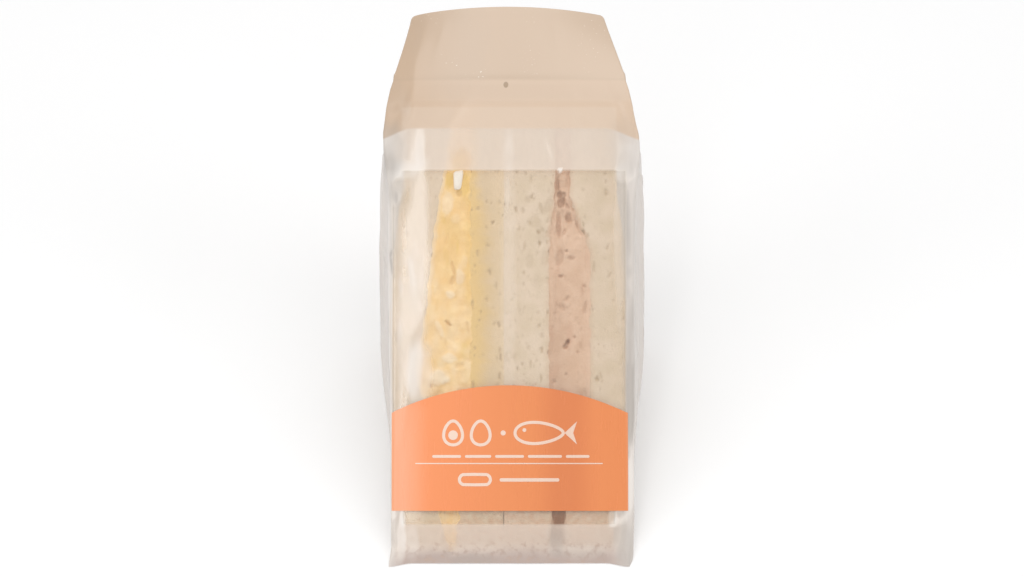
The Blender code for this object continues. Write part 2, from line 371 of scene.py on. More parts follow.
def rgba(red: float, green: float, blue: float) -> tuple:
    """A node colour from sRGB numbers up to 255.

    Args:
        red: red, up to 255.
        green: green, up to 255.
        blue: blue, up to 255.

    Returns:
        The linear colour with an alpha of 1.
    """
    parts = [part / 255 for part in (red, green, blue)]
    linear = [p / 12.92 if p <= 0.04045 else ((p + 0.055) / 1.055) ** 2.4 for p in parts]
    return (*linear, 1.0)


def new_group(name: str, inputs: dict, outputs: dict) -> bpy.types.NodeTree:
    """A node group with these sockets.

    Args:
        name: the group's name.
        inputs: socket type for each input's name.
        outputs: socket type for each output's name.

    Returns:
        The empty group.
    """
    tree = bpy.data.node_groups.new(name, "ShaderNodeTree")
    for way, sockets in (("INPUT", inputs), ("OUTPUT", outputs)):
        for title, kind in sockets.items():
            tree.interface.new_socket(title, in_out=way, socket_type=f"NodeSocket{kind}")
    return tree


def food_group() -> bpy.types.NodeTree:
    """The uneven colour and fine pores of moist food, shared by bread, egg and tuna; the pore mask is also
    used as painted shade in the pores.

    Returns:
        A group that mixes two colours in soft patches and gives pores and a fine height.
    """
    inputs = {
        "Light": "Color",
        "Dark": "Color",
        "Patch Scale": "Float",
        "Grain Scale": "Float",
        "Pores": "Float",
    }
    tree = new_group("food_surface", inputs, {"Color": "Color", "Pore": "Float", "Height": "Float"})
    bench = Bench(tree)
    given = bench.add("NodeGroupInput").outputs
    place = bench.add("ShaderNodeTexCoord").outputs["Object"]
    turned = bench.add("ShaderNodeMapping", {"Vector": place, "Rotation": (CUT_TILT, 0, 0)})
    drawn = bench.add("ShaderNodeMapping", {"Vector": turned.outputs[0], "Scale": PORES_PER_METRE})
    patches = bench.noise(place, given["Patch Scale"], 4.0)
    grain = bench.noise(place, given["Grain Scale"], 5.0)
    cells = bench.add("ShaderNodeTexVoronoi", {"Vector": drawn.outputs[0], "Scale": 1.0})
    wide = bench.rise(bench.noise(place, 210.0, 2.0), 0.42, 0.62)
    pore = bench.times(bench.rise(cells.outputs["Distance"], 0.34, 0.16), wide, given["Pores"])
    share = bench.rise(bench.math("MULTIPLY_ADD", grain, 0.4, patches), 0.45, 0.95)
    colour = bench.blend(share, given["Light"], given["Dark"])
    height = bench.math("SUBTRACT", grain, pore)
    bench.add("NodeGroupOutput", {"Color": colour, "Pore": pore, "Height": height})
    return tree


@dataclass(frozen=True)
class FoodFinish:
    """A moist, matte food surface, with attributes for painted shade in its pits along with darker colour,
    for stains and for pale pieces.
    """

    name: str
    light: tuple
    dark: tuple
    shade_and_brown: tuple
    stain_and_warm_light: tuple
    pale: tuple
    patch_scale: float
    grain_scale: float
    pores: float
    roughness: float
    bump: float

    def material(self, surface: bpy.types.NodeTree) -> bpy.types.Material:
        """Builds the material.

        Args:
            surface: the shared group for uneven tone and pores.

        Returns:
            A procedural Principled material.
        """
        made, bench = new_material(self.name)
        group = bench.add("ShaderNodeGroup", node_tree=surface)
        given = {
            "Light": self.light,
            "Dark": self.dark,
            "Patch Scale": self.patch_scale,
            "Grain Scale": self.grain_scale,
            "Pores": self.pores,
        }
        for key, value in given.items():
            group.inputs[key].default_value = value
        colour = bench.blend(bench.attribute("stain_and_warm_light"), group.outputs["Color"], self.stain_and_warm_light)
        colour = bench.blend(bench.attribute("pale"), colour, self.pale)
        # Painted shade: pores, holes, hollows and fold lines are darkened towards this colour, which also
        # colours brown pieces and specks.
        depth = bench.math("MAXIMUM", bench.attribute("tone"), group.outputs["Pore"])
        colour = bench.blend(depth, colour, self.shade_and_brown)
        height = group.outputs["Height"]
        bump = bench.add("ShaderNodeBump", {"Strength": self.bump, "Distance": 0.3 * MM, "Height": height})
        given = {"Base Color": colour, "Roughness": self.roughness, "Normal": bump.outputs[0]}
        shader = bench.add("ShaderNodeBsdfPrincipled", given)
        bench.add("ShaderNodeOutputMaterial", {"Surface": shader.outputs[0]})
        return made


def film_group() -> bpy.types.NodeTree:
    """The fine lengthwise unevenness of drawn film and its tiny glints, for film and print.

    Returns:
        A group that gives streaks from -1 to 1 and a mask of specks, by the given coordinates.
    """
    tree = new_group("film_surface", {"Vector": "Vector"}, {"Streaks": "Float", "Specks": "Float"})
    bench = Bench(tree)
    given = bench.add("NodeGroupInput").outputs["Vector"]
    drawn = bench.add("ShaderNodeMapping", {"Vector": given, "Scale": (30.0, 5.0, 1.0)})
    streaks = bench.math("MULTIPLY_ADD", bench.noise(drawn.outputs[0], 1.0, 4.0), 2.0, -1.0)
    wide = bench.rise(bench.noise(given, 9.0, 2.0), 0.48, 0.66)
    specks = bench.times(bench.rise(bench.noise(given, 130.0, 2.0), 0.66, 0.74), wide)
    bench.add("NodeGroupOutput", {"Streaks": streaks, "Specks": specks})
    return tree


@dataclass(frozen=True)
class FilmFinish:
    """Thin film: beige print at the top, milky bands and sides, and a clear front, with milky patches,
    painted highlights and painted shade laid over it.

    Places are in the film's own map, whose unit is 100 mm. A pair of places gives where a soft
    change begins and ends.
    """

    name: str = "printed_film"
    clear: tuple = rgba(240, 226, 208)
    haze_and_highlight: tuple = rgba(243, 236, 229)
    band: tuple = rgba(234, 219, 204)
    band_low: tuple = rgba(230, 214, 200)
    low_edge_shade: tuple = rgba(190, 171, 162)
    crumbs: tuple = rgba(198, 168, 146)
    side: tuple = rgba(235, 227, 220)
    beige: tuple = rgba(214, 190, 167)
    beige_lit: tuple = rgba(222, 197, 173)
    beige_flap: tuple = rgba(209, 187, 165)
    beige_left_shade: tuple = rgba(198, 168, 138)
    fold_shade: tuple = rgba(178, 160, 138)
    shadow: tuple = rgba(172, 164, 156)
    glint: tuple = rgba(246, 238, 228)
    tear_mark: tuple = rgba(160, 136, 110)
    clear_alpha: float = 0.13
    low_alpha: float = 0.66
    low_edge_alpha: float = 0.28
    milk_and_highlight_alpha: float = 0.8
    shade_alpha: float = 0.5
    streak_alpha: float = 0.05
    streak_alpha_side: float = 0.015
    band_alpha: float = 0.76
    side_alpha: float = 0.76
    beige_alpha: float = 0.94
    most_alpha: float = 0.97
    lamp_share: float = 0.55
    window_half: float = 0.366
    window_half_low: float = 0.331
    window_low: float = 0.096
    window_high: float = 1.20
    beige_low: float = 1.331
    beige_dip: float = 0.035
    beige_turn: tuple = (0.30, 0.42)
    lit_top: float = 1.412
    fold: float = 1.489
    fold_line: tuple = (0.007, 0.001)
    edge: float = 0.005
    inset_half: tuple = (0.342, 0.330)
    inset_top: tuple = (1.402, 1.394)
    left_shade_inner: tuple = (-0.10, -0.34)
    left_shade_outer: tuple = (-0.56, -0.42)
    tear_centre: tuple = (-0.010, 1.469)
    tear_half: tuple = (0.0075, 0.0094)
    tear_edge: tuple = (1.5, 0.6)
    upper_band: tuple = (0.5, 0.9)
    lower_shade: tuple = (0.037, -0.015)
    lower_alpha: tuple = (0.048, 0.002)
    crumbs_up: tuple = (0.10, 0.0)
    crumbs_heap: float = 0.022
    side_tone: tuple = (0.31, 0.40)
    side_turn: tuple = (0.372, 0.392)
    narrowing: tuple = (0.30, 0.16)
    crumbs_scale: float = 46.0
    crumbs_share: tuple = (0.46, 0.76)
    uneven_scale: float = 7.0
    uneven_height: float = 0.06
    gloss_roughness: float = 0.13
    gloss_ior: float = 1.75

    def printed(self, bench: Bench, across: object, up: object, specks: object) -> bpy.types.NodeSocket:
        """The colour of the beige print, with the flap's fold and the tear mark; painted light makes the
        beige below the flap lighter, painted shade darkens the fold line, and painted glints fleck the
        flap.

        Args:
            bench: the material's bench.
            across: the film's own place across the pack.
            up: the film's own place up the pack.
            specks: the mask of fine glints.

        Returns:
            The print's colour.
        """
        near_fold = bench.math("ABSOLUTE", bench.math("SUBTRACT", up, self.fold))
        line = bench.times(bench.rise(near_fold, *self.fold_line), 0.11)
        flap = bench.rise(up, self.fold - 0.002, self.fold + 0.004)
        lit = bench.rise(up, self.lit_top + 0.02, self.lit_top - 0.01)
        inset = bench.rise(bench.math("ABSOLUTE", across), *self.inset_half)
        inset = bench.times(inset, bench.rise(up, *self.inset_top), 0.22)
        colour = bench.blend(bench.times(flap, 0.6), self.beige, self.beige_flap)
        # Painted light: the beige below the lit top is painted lighter than the print above it.
        colour = bench.blend(lit, colour, self.beige_lit)
        # Painted shade: the left part of the beige print, which folds back, is darkened.
        inner, outer = bench.rise(across, *self.left_shade_inner), bench.rise(across, *self.left_shade_outer)
        left = bench.times(inner, outer, 0.5)
        colour = bench.blend(left, colour, self.beige_left_shade)
        colour = bench.blend(inset, colour, self.band)
        colour = bench.blend(line, colour, self.fold_shade)
        colour = bench.blend(bench.times(specks, flap, 0.9), colour, self.glint)
        offsets = [
            bench.math("DIVIDE", bench.math("SUBTRACT", place, centre), half)
            for place, centre, half in zip((across, up), self.tear_centre, self.tear_half)
        ]
        reach = bench.math("ADD", *(bench.times(offset, offset) for offset in offsets))
        return bench.blend(bench.times(bench.rise(reach, *self.tear_edge), 0.8), colour, self.tear_mark)

    def milky(self, bench: Bench, aside: object, up: object, crumbs: object) -> bpy.types.NodeSocket:
        """The colour of the milky bands and sides, with painted shade towards the lower edge.

        Args:
            bench: the material's bench.
            aside: the film's own distance from the middle of the front.
            up: the film's own place up the pack.
            crumbs: the mask of crumbs that show near the lower edge.

        Returns:
            The colour.
        """
        # Painted shade: the lower band is painted a little darker than the upper, and its lower edge much
        # darker where the film turns under.
        colour = bench.blend(bench.rise(up, *self.upper_band), self.band_low, self.band)
        heaped = bench.math("MULTIPLY_ADD", crumbs, -self.crumbs_heap, up)
        lower = bench.times(bench.rise(heaped, *self.lower_shade), 0.95)
        colour = bench.blend(lower, colour, self.low_edge_shade)
        shown = bench.times(crumbs, bench.rise(up, *self.crumbs_up), 0.4)
        colour = bench.blend(shown, colour, self.crumbs)
        return bench.blend(bench.rise(aside, *self.side_tone), colour, self.side)

    def thickness(self, bench: Bench, aside: object, up: object, parts: dict) -> bpy.types.NodeSocket:
        """How much of the film's own colour hides what is behind it.

        Args:
            bench: the material's bench.
            aside: the film's own distance from the middle of the front.
            up: the film's own place up the pack.
            parts: the masks for window, beige, milk and painted highlights, shade and streaks.

        Returns:
            The film's alpha, smaller for rays from lamps, whose light the milky film lets through.
        """
        upper, side = bench.rise(up, *self.upper_band), bench.rise(aside, *self.side_turn)
        lower = bench.times(bench.rise(up, *self.lower_alpha), self.low_edge_alpha)
        alpha = bench.math("MULTIPLY_ADD", upper, self.band_alpha - self.low_alpha, self.low_alpha)
        alpha = bench.math("ADD", alpha, lower)
        alpha = bench.math("MULTIPLY_ADD", side, bench.math("SUBTRACT", self.side_alpha, alpha), alpha)
        calmer = self.streak_alpha_side - self.streak_alpha
        streaks = bench.math("MULTIPLY_ADD", side, calmer, self.streak_alpha)
        alpha = bench.math("MULTIPLY_ADD", parts["streaks"], streaks, alpha)
        thin = bench.math("SUBTRACT", self.clear_alpha, alpha)
        alpha = bench.math("MULTIPLY_ADD", parts["window"], thin, alpha)
        alpha = bench.math("MULTIPLY_ADD", parts["milk_and_highlight"], self.milk_and_highlight_alpha, alpha)
        alpha = bench.math("MULTIPLY_ADD", parts["shade"], self.shade_alpha, alpha)
        alpha = bench.math("MINIMUM", bench.math("MAXIMUM", alpha, self.clear_alpha), self.most_alpha)
        thick = bench.math("SUBTRACT", self.beige_alpha, alpha)
        alpha = bench.math("MULTIPLY_ADD", parts["beige"], thick, alpha)
        lamp = bench.add("ShaderNodeLightPath").outputs["Is Shadow Ray"]
        return bench.times(alpha, bench.math("MULTIPLY_ADD", lamp, -self.lamp_share, 1.0))

    def material(self, surface: bpy.types.NodeTree) -> bpy.types.Material:
        """Builds the material.

        Args:
            surface: the shared group for the film's fine unevenness.

        Returns:
            A Principled material with zones by the film's own map, and gloss over its clear part.
        """
        made, bench = new_material(self.name)
        place = bench.add("ShaderNodeUVMap", uv_map="pack").outputs[0]
        parts = bench.add("ShaderNodeSeparateXYZ", {0: place}).outputs
        aside, up = bench.math("ABSOLUTE", parts[0]), parts[1]
        group = bench.add("ShaderNodeGroup", {"Vector": place}, node_tree=surface)
        milk_and_highlight, shade = bench.attribute("milk_and_highlight"), bench.attribute("shade")
        narrower = bench.rise(up, *self.narrowing)
        widened = bench.math("MULTIPLY_ADD", narrower, self.window_half - self.window_half_low, aside)
        inside = bench.rise(widened, self.window_half + self.edge, self.window_half - self.edge)
        above = bench.rise(up, self.window_low - self.edge, self.window_low + self.edge)
        below = bench.rise(up, self.window_high + self.edge, self.window_high - self.edge)
        window = bench.times(inside, above, below)
        lifted = bench.math("MULTIPLY_ADD", bench.rise(aside, *self.beige_turn), self.beige_dip, up)
        beige = bench.rise(lifted, self.beige_low - self.edge, self.beige_low + self.edge)
        crumbs = bench.rise(bench.noise(place, self.crumbs_scale, 4.0), *self.crumbs_share)
        lowered = bench.math("SUBTRACT", up, self.uneven_height / 2)
        uneven = bench.noise(place, self.uneven_scale, 3.0)
        uneven_up = bench.math("MULTIPLY_ADD", uneven, self.uneven_height, lowered)
        colour = self.milky(bench, aside, uneven_up, crumbs)
        colour = bench.blend(window, colour, self.clear)
        # Milky patches and painted highlights: the film is whitened here, also for the glare streaks and
        # small glints.
        colour = bench.blend(milk_and_highlight, colour, self.haze_and_highlight)
        colour = bench.blend(beige, colour, self.printed(bench, parts[0], up, group.outputs["Specks"]))
        colour = bench.blend(bench.times(shade, 0.75), colour, self.shadow)
        streaks = group.outputs["Streaks"]
        masks = {"window": window, "beige": beige, "milk_and_highlight": milk_and_highlight, "shade": shade, "streaks": streaks}
        alpha = self.thickness(bench, aside, up, masks)
        given = {"Base Color": colour, "Roughness": 0.33, "Alpha": alpha}
        shader = bench.add("ShaderNodeBsdfPrincipled", given)
        gloss = bench.add("ShaderNodeBsdfAnisotropic", {"Roughness": self.gloss_roughness})
        fresnel = bench.add("ShaderNodeFresnel", {"IOR": self.gloss_ior}).outputs[0]
        behind = bench.add("ShaderNodeNewGeometry").outputs["Backfacing"]
        facing = bench.math("SUBTRACT", 1.0, behind)
        share = bench.times(fresnel, bench.math("SUBTRACT", 1.0, alpha), facing)
        mixed = bench.add("ShaderNodeMixShader", {0: share, 1: shader.outputs[0], 2: gloss.outputs[0]})
        bench.add("ShaderNodeOutputMaterial", {"Surface": mixed.outputs[0]})
        return made


@dataclass(frozen=True)
class PrintFinish:
    """Flat print on film, with painted light: a painted highlight makes it brighter at the left, a painted
    glare whitens its left end, and painted shade makes it dimmer over the tuna.
    """

    name: str
    colour: tuple
    worn: tuple
    lit: tuple
    dim: tuple
    glare: tuple
    roughness: float = 0.24
    lit_ends: tuple = (12 * MM, -36 * MM)
    glare_ends: tuple = (-27 * MM, -35 * MM)
    tuna_x: float = 17 * MM
    dim_ends: tuple = (11 * MM, 2 * MM)

    def material(self, surface: bpy.types.NodeTree) -> bpy.types.Material:
        """Builds the material.

        Args:
            surface: the shared group for the film's fine unevenness.

        Returns:
            A procedural Principled material.
        """
        made, bench = new_material(self.name)
        where = bench.add("ShaderNodeTexCoord").outputs["Object"]
        across = bench.add("ShaderNodeSeparateXYZ", {0: where}).outputs[0]
        scaled = bench.add("ShaderNodeMapping", {"Vector": where, "Scale": (1 / UV_UNIT,) * 3})
        group = bench.add("ShaderNodeGroup", {"Vector": scaled.outputs[0]}, node_tree=surface)
        share = bench.rise(group.outputs["Streaks"], -0.6, 0.8)
        off_tuna = bench.math("ABSOLUTE", bench.math("SUBTRACT", across, self.tuna_x))
        colour = bench.blend(share, self.colour, self.worn)
        # Painted highlight at the left, painted glare at the left end, and painted shade over the tuna.
        colour = bench.blend(bench.rise(across, *self.lit_ends), colour, self.lit)
        colour = bench.blend(bench.times(bench.rise(across, *self.glare_ends), 0.6), colour, self.glare)
        colour = bench.blend(bench.rise(off_tuna, *self.dim_ends), colour, self.dim)
        rough = bench.math("MULTIPLY_ADD", share, 0.06, self.roughness)
        given = {"Base Color": colour, "Roughness": rough, "IOR": 1.5}
        shader = bench.add("ShaderNodeBsdfPrincipled", given)
        bench.add("ShaderNodeOutputMaterial", {"Surface": shader.outputs[0]})
        return made


# The sandwiches


@dataclass(frozen=True)
class Stack:
    """The six layers across the pack: thickness at the lower edge, at mid cut and at the top."""

    bread_left_outer: tuple = (10.5 * MM, 11.6 * MM, 12.8 * MM)
    egg_salad: tuple = (5.4 * MM, 13.8 * MM, 6.8 * MM)
    bread_left_inner: tuple = (14.9 * MM, 10.2 * MM, 9.4 * MM)
    bread_right_inner: tuple = (14.6 * MM, 14.1 * MM, 16.3 * MM)
    tuna_salad: tuple = (4.7 * MM, 12.9 * MM, 4.8 * MM)
    bread_right_outer: tuple = (14.8 * MM, 11.1 * MM, 14.6 * MM)
    meeting_x: float = -1.6 * MM
    gap: float = 0.02 * MM
    gap_open: float = 0.2 * MM
    gap_span: float = 12 * MM
    dent: float = 1.2 * MM
    dent_span: float = 104.5 * MM
    slump: float = 4.4 * MM
    slump_span: float = 57 * MM
    slump_reach: float = 12 * MM
    pinch: float = 2.8 * MM
    pinch_span: float = 15.5 * MM
    wander: float = 0.55 * MM
    wander_egg: float = 1.1 * MM
    tuna_full: tuple = (0.62, 0.93)

    def fullness(self, span: float, depth: float) -> float:
        """How far a point is from both crust sides: 0 on a side, 1 at the middle of the cut.

        Args:
            span: place up the cut face.
            depth: place behind the cut face.

        Returns:
            The share, 0 to 1.
        """
        to_bottom = span - depth
        to_back = PACK.cut_span - span - depth
        return max(0.0, 4 * to_bottom * to_back / PACK.cut_span**2)

    def thickness(self, layer: tuple, heap: float, span: float) -> float:
        """Thickness of a layer at one span, where its filling is heaped by this share."""
        at_bottom, at_middle, at_top = layer
        return mix(mix(at_bottom, at_top, span / PACK.cut_span), at_middle, heap)

    def wandered(self, faces: list[float], span: float, depth: float) -> list[float]:
        """Lets the two borders of the filling wander a little, as spread by hand.

        Args:
            faces: the x of the sandwich's four faces.
            span: place up the cut face.
            depth: place behind the cut face.

        Returns:
            The same faces, with the two at the filling moved.
        """
        for place in (1, 2):
            at = Vector((faces[0] / MM + place * 3.7, span / (5 * MM), depth / (5 * MM)))
            uneven = noise.noise(at) + 0.6 * noise.noise(at * 2.7) + 0.3 * noise.noise(at * 6.1)
            faces[place] += (self.wander_egg if faces[1] < 0 and place == 1 else self.wander) * uneven
        return faces

    def half_gap(self, span: float) -> float:
        """Half the gap between the two sandwiches, which opens a little near the lower edge."""
        return mix(self.gap, self.gap_open, hump(span - self.gap_span, 3.5 * MM)) / 2

    def left_faces(self, span: float, depth: float) -> list[float]:
        """The x of the left sandwich's faces, from the meeting of the sandwiches outwards.

        Args:
            span: place up the cut face.
            depth: place behind the cut face.

        Returns:
            Four places in x.
        """
        heap = self.fullness(span, depth) ** 2
        faces = [self.meeting_x - self.half_gap(span)]
        for layer in (self.bread_left_inner, self.egg_salad, self.bread_left_outer):
            faces.append(faces[-1] - self.thickness(layer, heap, span))
        faces[2] -= self.slump * heap * hump(span - self.slump_span, self.slump_reach)
        faces[2] += self.pinch * (1 - smooth(0, self.pinch_span, span))
        return self.wandered(faces, span, depth)

    def right_faces(self, span: float, depth: float) -> list[float]:
        """The x of the right sandwich's faces, from the meeting of the sandwiches outwards.

        Args:
            span: place up the cut face.
            depth: place behind the cut face.

        Returns:
            Four places in x.
        """
        heap = smooth(*self.tuna_full, self.fullness(span, depth))
        faces = [self.meeting_x + self.half_gap(span)]
        for layer in (self.bread_right_inner, self.tuna_salad, self.bread_right_outer):
            faces.append(faces[-1] + self.thickness(layer, heap, span))
        faces[2] -= self.dent * heap * hump(span - self.dent_span, 4.5 * MM)
        return self.wandered(faces, span, depth)

    def limits(self, side: Side, place: Place, span: float, depth: float) -> tuple[float, float]:
        """Low and high x of one layer at a point.

        Args:
            side: the sandwich.
            place: the layer's place in it.
            span: place up the cut face.
            depth: place behind the cut face.

        Returns:
            The x of the layer's two sides there.
        """
        faces = self.right_faces(span, depth) if side is Side.RIGHT else self.left_faces(span, depth)
        return tuple(sorted((faces[place], faces[place + 1])))


STACK = Stack()


@dataclass(frozen=True)
class Mark:
    """A soft-edged patch on a cut face."""

    x: float
    span: float
    half_x: float
    half_span: float
    turn: float
    amount: float

    def cover(self, x: float, span: float, ragged: float) -> float:
        """How much of the patch lies at a place.

        Args:
            x: place across the pack.
            span: place up the cut face.
            ragged: unevenness of the patch's edge at that place.

        Returns:
            The patch's amount inside it, falling to 0 outside.
        """
        right, up = x - self.x, span - self.span
        reach = 1.7 * max(self.half_x, self.half_span)
        if abs(right) > reach or abs(up) > reach:
            return 0.0
        turn = math.radians(self.turn)
        across = (right * math.cos(turn) + up * math.sin(turn)) / self.half_x
        along = (up * math.cos(turn) - right * math.sin(turn)) / self.half_span
        return self.amount * (1 - smooth(0.6, 1.25, math.hypot(across, along) + ragged))


def marks(*rows: tuple) -> list[Mark]:
    """Patches from rows of x, span, half width, half height in millimetres, turn and amount."""
    return [Mark(*(value * MM for value in row[:4]), *row[4:]) for row in rows]


@dataclass
class Look:
    """How a place of a cut face departs from flat and from its plain colour."""

    recess: float = 0.0
    tone: float = 0.0
    stain_and_warm_light: float = 0.0
    pale: float = 0.0


@dataclass
class Layer:
    """One layer of a sandwich, with a fine grid over its cut face."""

    name: str
    side: Side
    place: Place
    slot: Slot
    cell: float = 0.38 * MM
    depth_steps: int = 9
    tip: float = 1.0 * MM
    heel_rounding: float = 2.0 * MM

    def look(self, x: float, span: float, share: float) -> Look:
        """The cut face at x and span, where share is the place across this layer, 0 to 1."""
        return Look()

    def behind(self, span: float) -> float:
        """Depth of the crust side behind this span, rounded at the heel.

        Args:
            span: place up the cut face.

        Returns:
            The depth in metres.
        """
        side = min(span, PACK.cut_span - span)
        from_middle = abs(span - PACK.cut_span / 2)
        return side - max(0.0, self.heel_rounding - from_middle) / 2

    def build(self, finish: bpy.types.Material) -> bpy.types.Object:
        """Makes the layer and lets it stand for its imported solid.

        Args:
            finish: the layer's material.

        Returns:
            The finished piece.
        """
        low, high = STACK.limits(self.side, self.place, PACK.cut_span / 2, 0.0)
        columns = max(12, round((high - low) / self.cell))
        shape = new_grid(columns, round(PACK.cut_span / self.cell))
        front = shape.faces[:]
        for step in range(self.depth_steps):
            front = pushed_out(shape, front, (0, 0, 1 / self.depth_steps), keep=step == 0)
        layers = {name: shape.verts.layers.float.new(name) for name in ("tone", "stain_and_warm_light", "pale")}
        for vert in shape.verts:
            share, up, back = vert.co.x + 0.5, vert.co.y + 0.5, vert.co.z
            span = mix(self.tip, PACK.cut_span - self.tip, up)
            depth = self.behind(span) * back**1.3
            low, high = STACK.limits(self.side, self.place, span, depth)
            x = mix(low, high, share)
            if back < 1e-6:
                look = self.look(x, span, share)
                depth += look.recess
                for name, layer in layers.items():
                    vert[layer] = min(1.0, max(0.0, getattr(look, name)))
            vert.co = PACK.point(x, span, depth)
        piece = finished(self.name, shape, finish)
        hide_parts(self.name)
        return piece


@dataclass
class BreadSlice(Layer):
    """A slice of white bread whose cut face has upright pores."""

    slot: Slot = Slot.BREAD
    smear: tuple = ()
    pore_size: float = 1.2 * MM
    fine_pore_size: float = 0.75 * MM
    deepest: float = 0.7 * MM
    foot: tuple = (13 * MM, 19 * MM)
    bleed_span: float = 102 * MM
    warmth: tuple = ((-34, 0.0), (-20, 0.1), (-16, 0.30), (-4, 0.34), (4, 0.46), (34, 0.46))
    holes: list = field(default_factory=list)

    def pores(self, x: float, span: float, size: float, seed: float) -> float:
        """How deep a place lies in one of the pores of about this size, 0 to 1.

        Args:
            x: place across the pack.
            span: place up the cut face.
            size: width of a pore.
            seed: which of the patterns to read.

        Returns:
            The share of a pore's full depth.
        """
        at = Vector((x / (size * 2.6), span / (size * 4.6), seed))
        bent = at + 0.16 * Vector((noise.noise(at * 3.1), noise.noise(at * 2.3 + Vector((5, 0, 0))), 0))
        distances, points = noise.voronoi(bent)
        radius = 0.13 + 0.21 * abs(noise.cell(points[0] * 37.0))
        return 1 - smooth(radius * 0.15, radius, distances[0])

    def from_filling(self, x: float, span: float) -> float:
        """Distance of a place of the cut face from the filling beside this slice.

        Args:
            x: place across the pack.
            span: place up the cut face.

        Returns:
            The distance in metres.
        """
        ends = STACK.limits(self.side, self.place, span, 0.0)
        filling_is_left = (self.side is Side.RIGHT) == (self.place is Place.OUTER)
        return abs(x - ends[0 if filling_is_left else 1])

    def look(self, x: float, span: float, share: float) -> Look:
        """Pores of two sizes, an uneven crumb, a lower edge with painted shade and painted orange light at
        the far left, and egg smeared over one side.

        Args:
            x: place across the pack.
            span: place up the cut face.
            share: place across this layer, 0 to 1.

        Returns:
            How the place departs from a flat, plain face.
        """
        seed = self.place + 3.0 * self.side
        wide = smooth(0.25, 0.75, 0.5 + 0.6 * noise.noise(Vector((x, span, 9 * MM)) / (8 * MM)))
        pore = 0.72 * self.pores(x, span, self.pore_size, seed) * mix(0.35, 1.0, wide)
        small = self.pores(x, span, self.fine_pore_size, seed + 20.5)
        pore = max(pore, 0.48 * small * mix(0.5, 1.0, wide))
        ragged = 0.3 * noise.noise(Vector((x, span, 0)) / (0.9 * MM))
        pore = max([pore, *(hole.cover(x, span, ragged) for hole in self.holes)])
        fine = noise.noise(Vector((x / 0.8, span / 1.1, 4 * MM)) / MM)
        pore *= mix(0.35, 1.0, smooth(16 * MM, 30 * MM, span))
        # Painted shade: pores and holes are darkened as well as sunk.
        look = Look(recess=self.deepest * pore + 0.06 * MM * (1 + fine), tone=1.15 * pore)
        bleed = 1 - smooth(0.0, 1.6 * MM, self.from_filling(x, span) + 0.8 * MM * fine)
        bleed *= 1 + 1.6 * hump(span - self.bleed_span, 6 * MM)
        foot = 1 - smooth(*self.foot, span)
        warm = between(self.warmth, x / MM) + 0.40 * noise.noise(Vector((x, span, 0)) / (1.6 * MM))
        # Painted shade: the lower edge under the label is blended towards the darker brown colour, less so
        # to the left; near the tuna that colour is its bleed.
        look.pale = max(warm * foot, 0.22 * bleed * (self.side is Side.RIGHT))
        # Painted warm light from the orange label at the far left of the lower edge.
        look.stain_and_warm_light = 0.14 * foot * (x < -20 * MM)
        look.tone = max(look.tone, 0.09 * (1 - foot) * smooth(22 * MM, 26 * MM, x))
        if self.smear:
            reach = between(self.smear, span / MM) * MM
            low, _ = STACK.limits(self.side, self.place, span, 0.0)
            torn = 1.2 * MM * noise.noise(Vector((0, span / (6 * MM), 2.0)))
            torn += 0.7 * MM * noise.noise(Vector((x, span, 0)) / (1.7 * MM))
            near = 1 - smooth(reach * 0.2, reach * 1.7 + 0.1 * MM, x - low + torn)
            look.stain_and_warm_light = (0.28 + 0.66 * near) * mix(1.0, 0.15, foot)
            look.tone = max(look.tone, 0.12 * hump(x - low - 5.0 * MM, 3.0 * MM) * (1 - foot))
        return look


